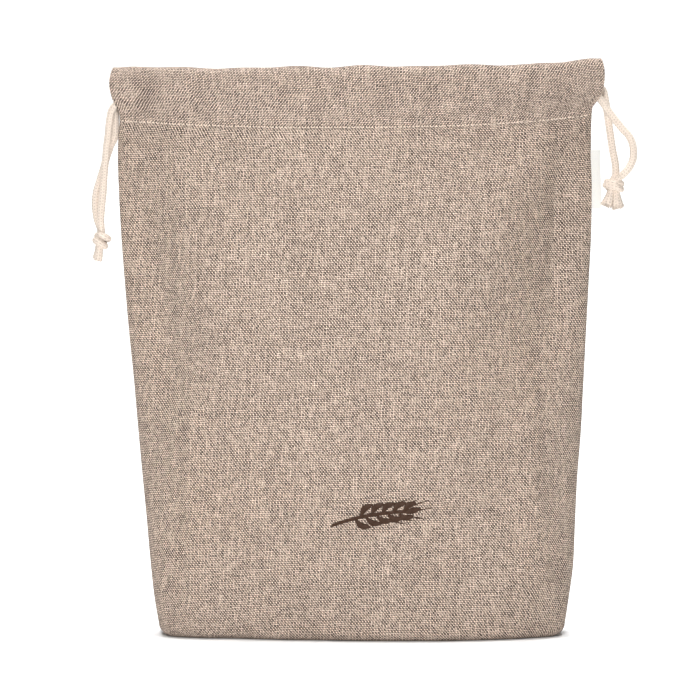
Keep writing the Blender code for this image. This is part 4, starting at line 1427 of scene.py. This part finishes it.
@dataclass
class Studio:
    """A pale sweep, a soft key from the upper left, and a long lens nearly level with the bag."""

    eye: tuple[float, float, float] = (-0.0052, -2.2, 0.300)
    target: tuple[float, float, float] = (-0.0052, 0.0, 0.1841)
    lens: float = 175.1
    key_power: float = 12.9
    sky: float = 0.03
    floor_half_width: float = 5.0
    floor_front: float = -4.0
    bend_start: float = 0.8       # where the floor starts to curve up
    bend_radius: float = 0.8
    wall_height: float = 4.0

    def camera(self) -> None:
        """Add the camera."""
        data = bpy.data.cameras.new("camera")
        data.lens, data.sensor_width = self.lens, 36.0
        data.dof.use_dof = False
        camera = bpy.data.objects.new("camera", data)
        camera.location = self.eye
        aim = Vector(self.target) - Vector(self.eye)
        camera.rotation_euler = aim.to_track_quat("-Z", "Y").to_euler()
        bpy.context.scene.collection.objects.link(camera)
        bpy.context.scene.camera = camera

    def light(self, name: str, place: Sequence[float], aim: Sequence[float], size: float,
              power: float, spread: float = 180.0) -> None:
        """Add one soft square light, whose beam opens by a number of degrees."""
        data = bpy.data.lights.new(name, "AREA")
        data.size, data.energy, data.spread = size, power, math.radians(spread)
        lamp = bpy.data.objects.new(name, data)
        lamp.location = place
        lamp.rotation_euler = (Vector(aim) - Vector(place)).to_track_quat("-Z", "Y").to_euler()
        bpy.context.scene.collection.objects.link(lamp)

    def sweep(self) -> None:
        """Add the floor, which curves up behind the bag."""
        start, radius, below = self.bend_start, self.bend_radius, 0.0002
        bend = [(start + radius * math.sin(a), radius - radius * math.cos(a))
                for a in np.linspace(0.0, math.pi / 2, 17)]
        profile = [(self.floor_front, 0.0), (start, 0.0), *bend[1:],
                   (start + radius, self.wall_height)]
        points = [(x, y, z - below) for y, z in profile
                  for x in (-self.floor_half_width, self.floor_half_width)]
        faces = [(2 * i, 2 * i + 1, 2 * i + 3, 2 * i + 2) for i in range(len(profile) - 1)]
        data = bpy.data.meshes.new("floor")
        data.from_pydata(points, [], faces)
        data.shade_smooth()
        material, _, shader = start_material("pale_floor", 0.9, 0.0)
        shader.inputs["Base Color"].default_value = (0.93, 0.93, 0.93, 1.0)
        data.materials.append(material)
        floor = bpy.data.objects.new("floor", data)
        bpy.context.scene.collection.objects.link(floor)

    def build(self) -> None:
        """Add the floor, the sky light and the lamps."""
        scene = bpy.context.scene
        scene.view_settings.view_transform = "Standard"
        world = bpy.data.worlds.new("studio")
        world.use_nodes = True
        background = world.node_tree.nodes["Background"]
        background.inputs["Color"].default_value = (1.0, 1.0, 1.0, 1.0)
        background.inputs["Strength"].default_value = self.sky
        scene.world = world
        self.sweep()
        self.light("key", (-0.08, -1.2, 0.56), (0.0, 0.0, 0.2), 0.22, self.key_power)
        self.light("floor_wash", (0.0, 0.35, 2.0), (0.0, 0.25, 0.0), 1.4, 13.0, 90.0)
        self.light("backdrop_wash", (0.0, 0.3, 3.0), (0.0, 1.6, 0.7), 2.4, 42.0, 120.0)


def main() -> None:
    """Build every piece in order."""
    logging.basicConfig(level=logging.INFO, format="%(message)s")
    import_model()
    studio = Studio()
    studio.camera()

    front = Panel("front_cloth", "front_panel", Facing.FRONT, FRONT_FOLDS, FRONT_CREASES,
                  FRONT_WRINKLES, phase=0.7)
    back = Panel("back_cloth", "back_panel", Facing.BACK, BACK_FOLDS, BACK_CREASES,
                 BACK_WRINKLES, phase=2.9)

    left_knot = Knot(
        "left_tie_knot", "left_knot", (-0.1656, -0.0001, 0.2555), 24.0,
        wraps=((0.0036, 0.0034, 0.0030, 0.0012, 0.50, 1.62), (0.0035, 0.0034, -0.0012, -0.0030, 0.06, 1.16)),
        cores=(((-0.1657, -0.0028, 0.2650), (-0.1655, -0.0012, 0.2590), (-0.1664, -0.0008, 0.2500)),
               ((-0.1670, 0.0027, 0.2650), (-0.1664, 0.0014, 0.2590), (-0.1674, 0.0010, 0.2500))),
        tails=(((-0.1666, -0.0020, 0.2520), (-0.1673, -0.0020, 0.2462), (-0.1681, -0.0018, 0.2420)),
               ((-0.1674, 0.0018, 0.2520), (-0.1682, 0.0018, 0.2462), (-0.1692, 0.0017, 0.2428))),
        flare=0.20, fray_length=0.0016, frays=40, seed=5)
    right_knot = Knot(
        "right_tie_knot", "right_knot", (0.1646, -0.0045, 0.2904), 11.0,
        wraps=((0.0050, 0.0037, -0.0006, -0.0018, 0.34, 1.44), (0.0045, 0.0036, 0.0021, 0.0013, -0.20, 0.86)),
        cores=(((0.1690, -0.0073, 0.2968), (0.1666, -0.0056, 0.2925), (0.1664, -0.0046, 0.2860)),
               ((0.1660, -0.0018, 0.2970), (0.1634, -0.0034, 0.2920), (0.1624, -0.0044, 0.2860))),
        tails=(((0.1630, -0.0050, 0.2880), (0.1617, -0.0053, 0.2825), (0.1602, -0.0055, 0.2782)),
               ((0.1661, -0.0047, 0.2876), (0.1667, -0.0048, 0.2820), (0.1675, -0.0049, 0.2768))),
        flare=0.55, fray_length=0.0030, frays=90, seed=8)
    knots = {"left": left_knot.build(), "right": right_knot.build()}
    strands = (
        Strand("left_tie_front", "left_strand_front", LEFT_FRONT_ROUTE, 0.087, 0.0),
        Strand("left_tie_back", "left_strand_back", LEFT_BACK_ROUTE, 0.089, 0.0008),
        Strand("right_tie_front", "right_strand_front", RIGHT_FRONT_ROUTE, 0.074, 0.0005),
        Strand("right_tie_back", "right_strand_back", RIGHT_BACK_ROUTE, 0.070, 0.0013),
    )
    for strand in strands:
        strand.build(knots[strand.name.split("_")[0]])
    runs = (
        HiddenRun("left_drawstring", "left_cord_run", LOW_CORD_DROP, LEFT_FRONT_ROUTE[0][0] + STRAND_GAP),
        HiddenRun("right_drawstring", "right_cord_run", HIGH_CORD_DROP,
                  RIGHT_FRONT_ROUTE[0][0] - STRAND_GAP),
    )
    for run in runs:
        run.build(front, back)

    front_cloth, back_cloth = front.build(), back.build()
    front_rows, back_rows = (
        [panel.stitches(f"{side}_topstitch", 0.0, 0.00042, 0.002),
         panel.stitches(f"{side}_hem_stitch", 2 * CLOTH + TOUCH, 0.00034, 0.020)]
        for side, panel in (("front", front), ("back", back)))
    ear = WheatEar(front).build()
    label = SideLabel().build()

    studio.build()


if __name__ == "__main__":
    main()
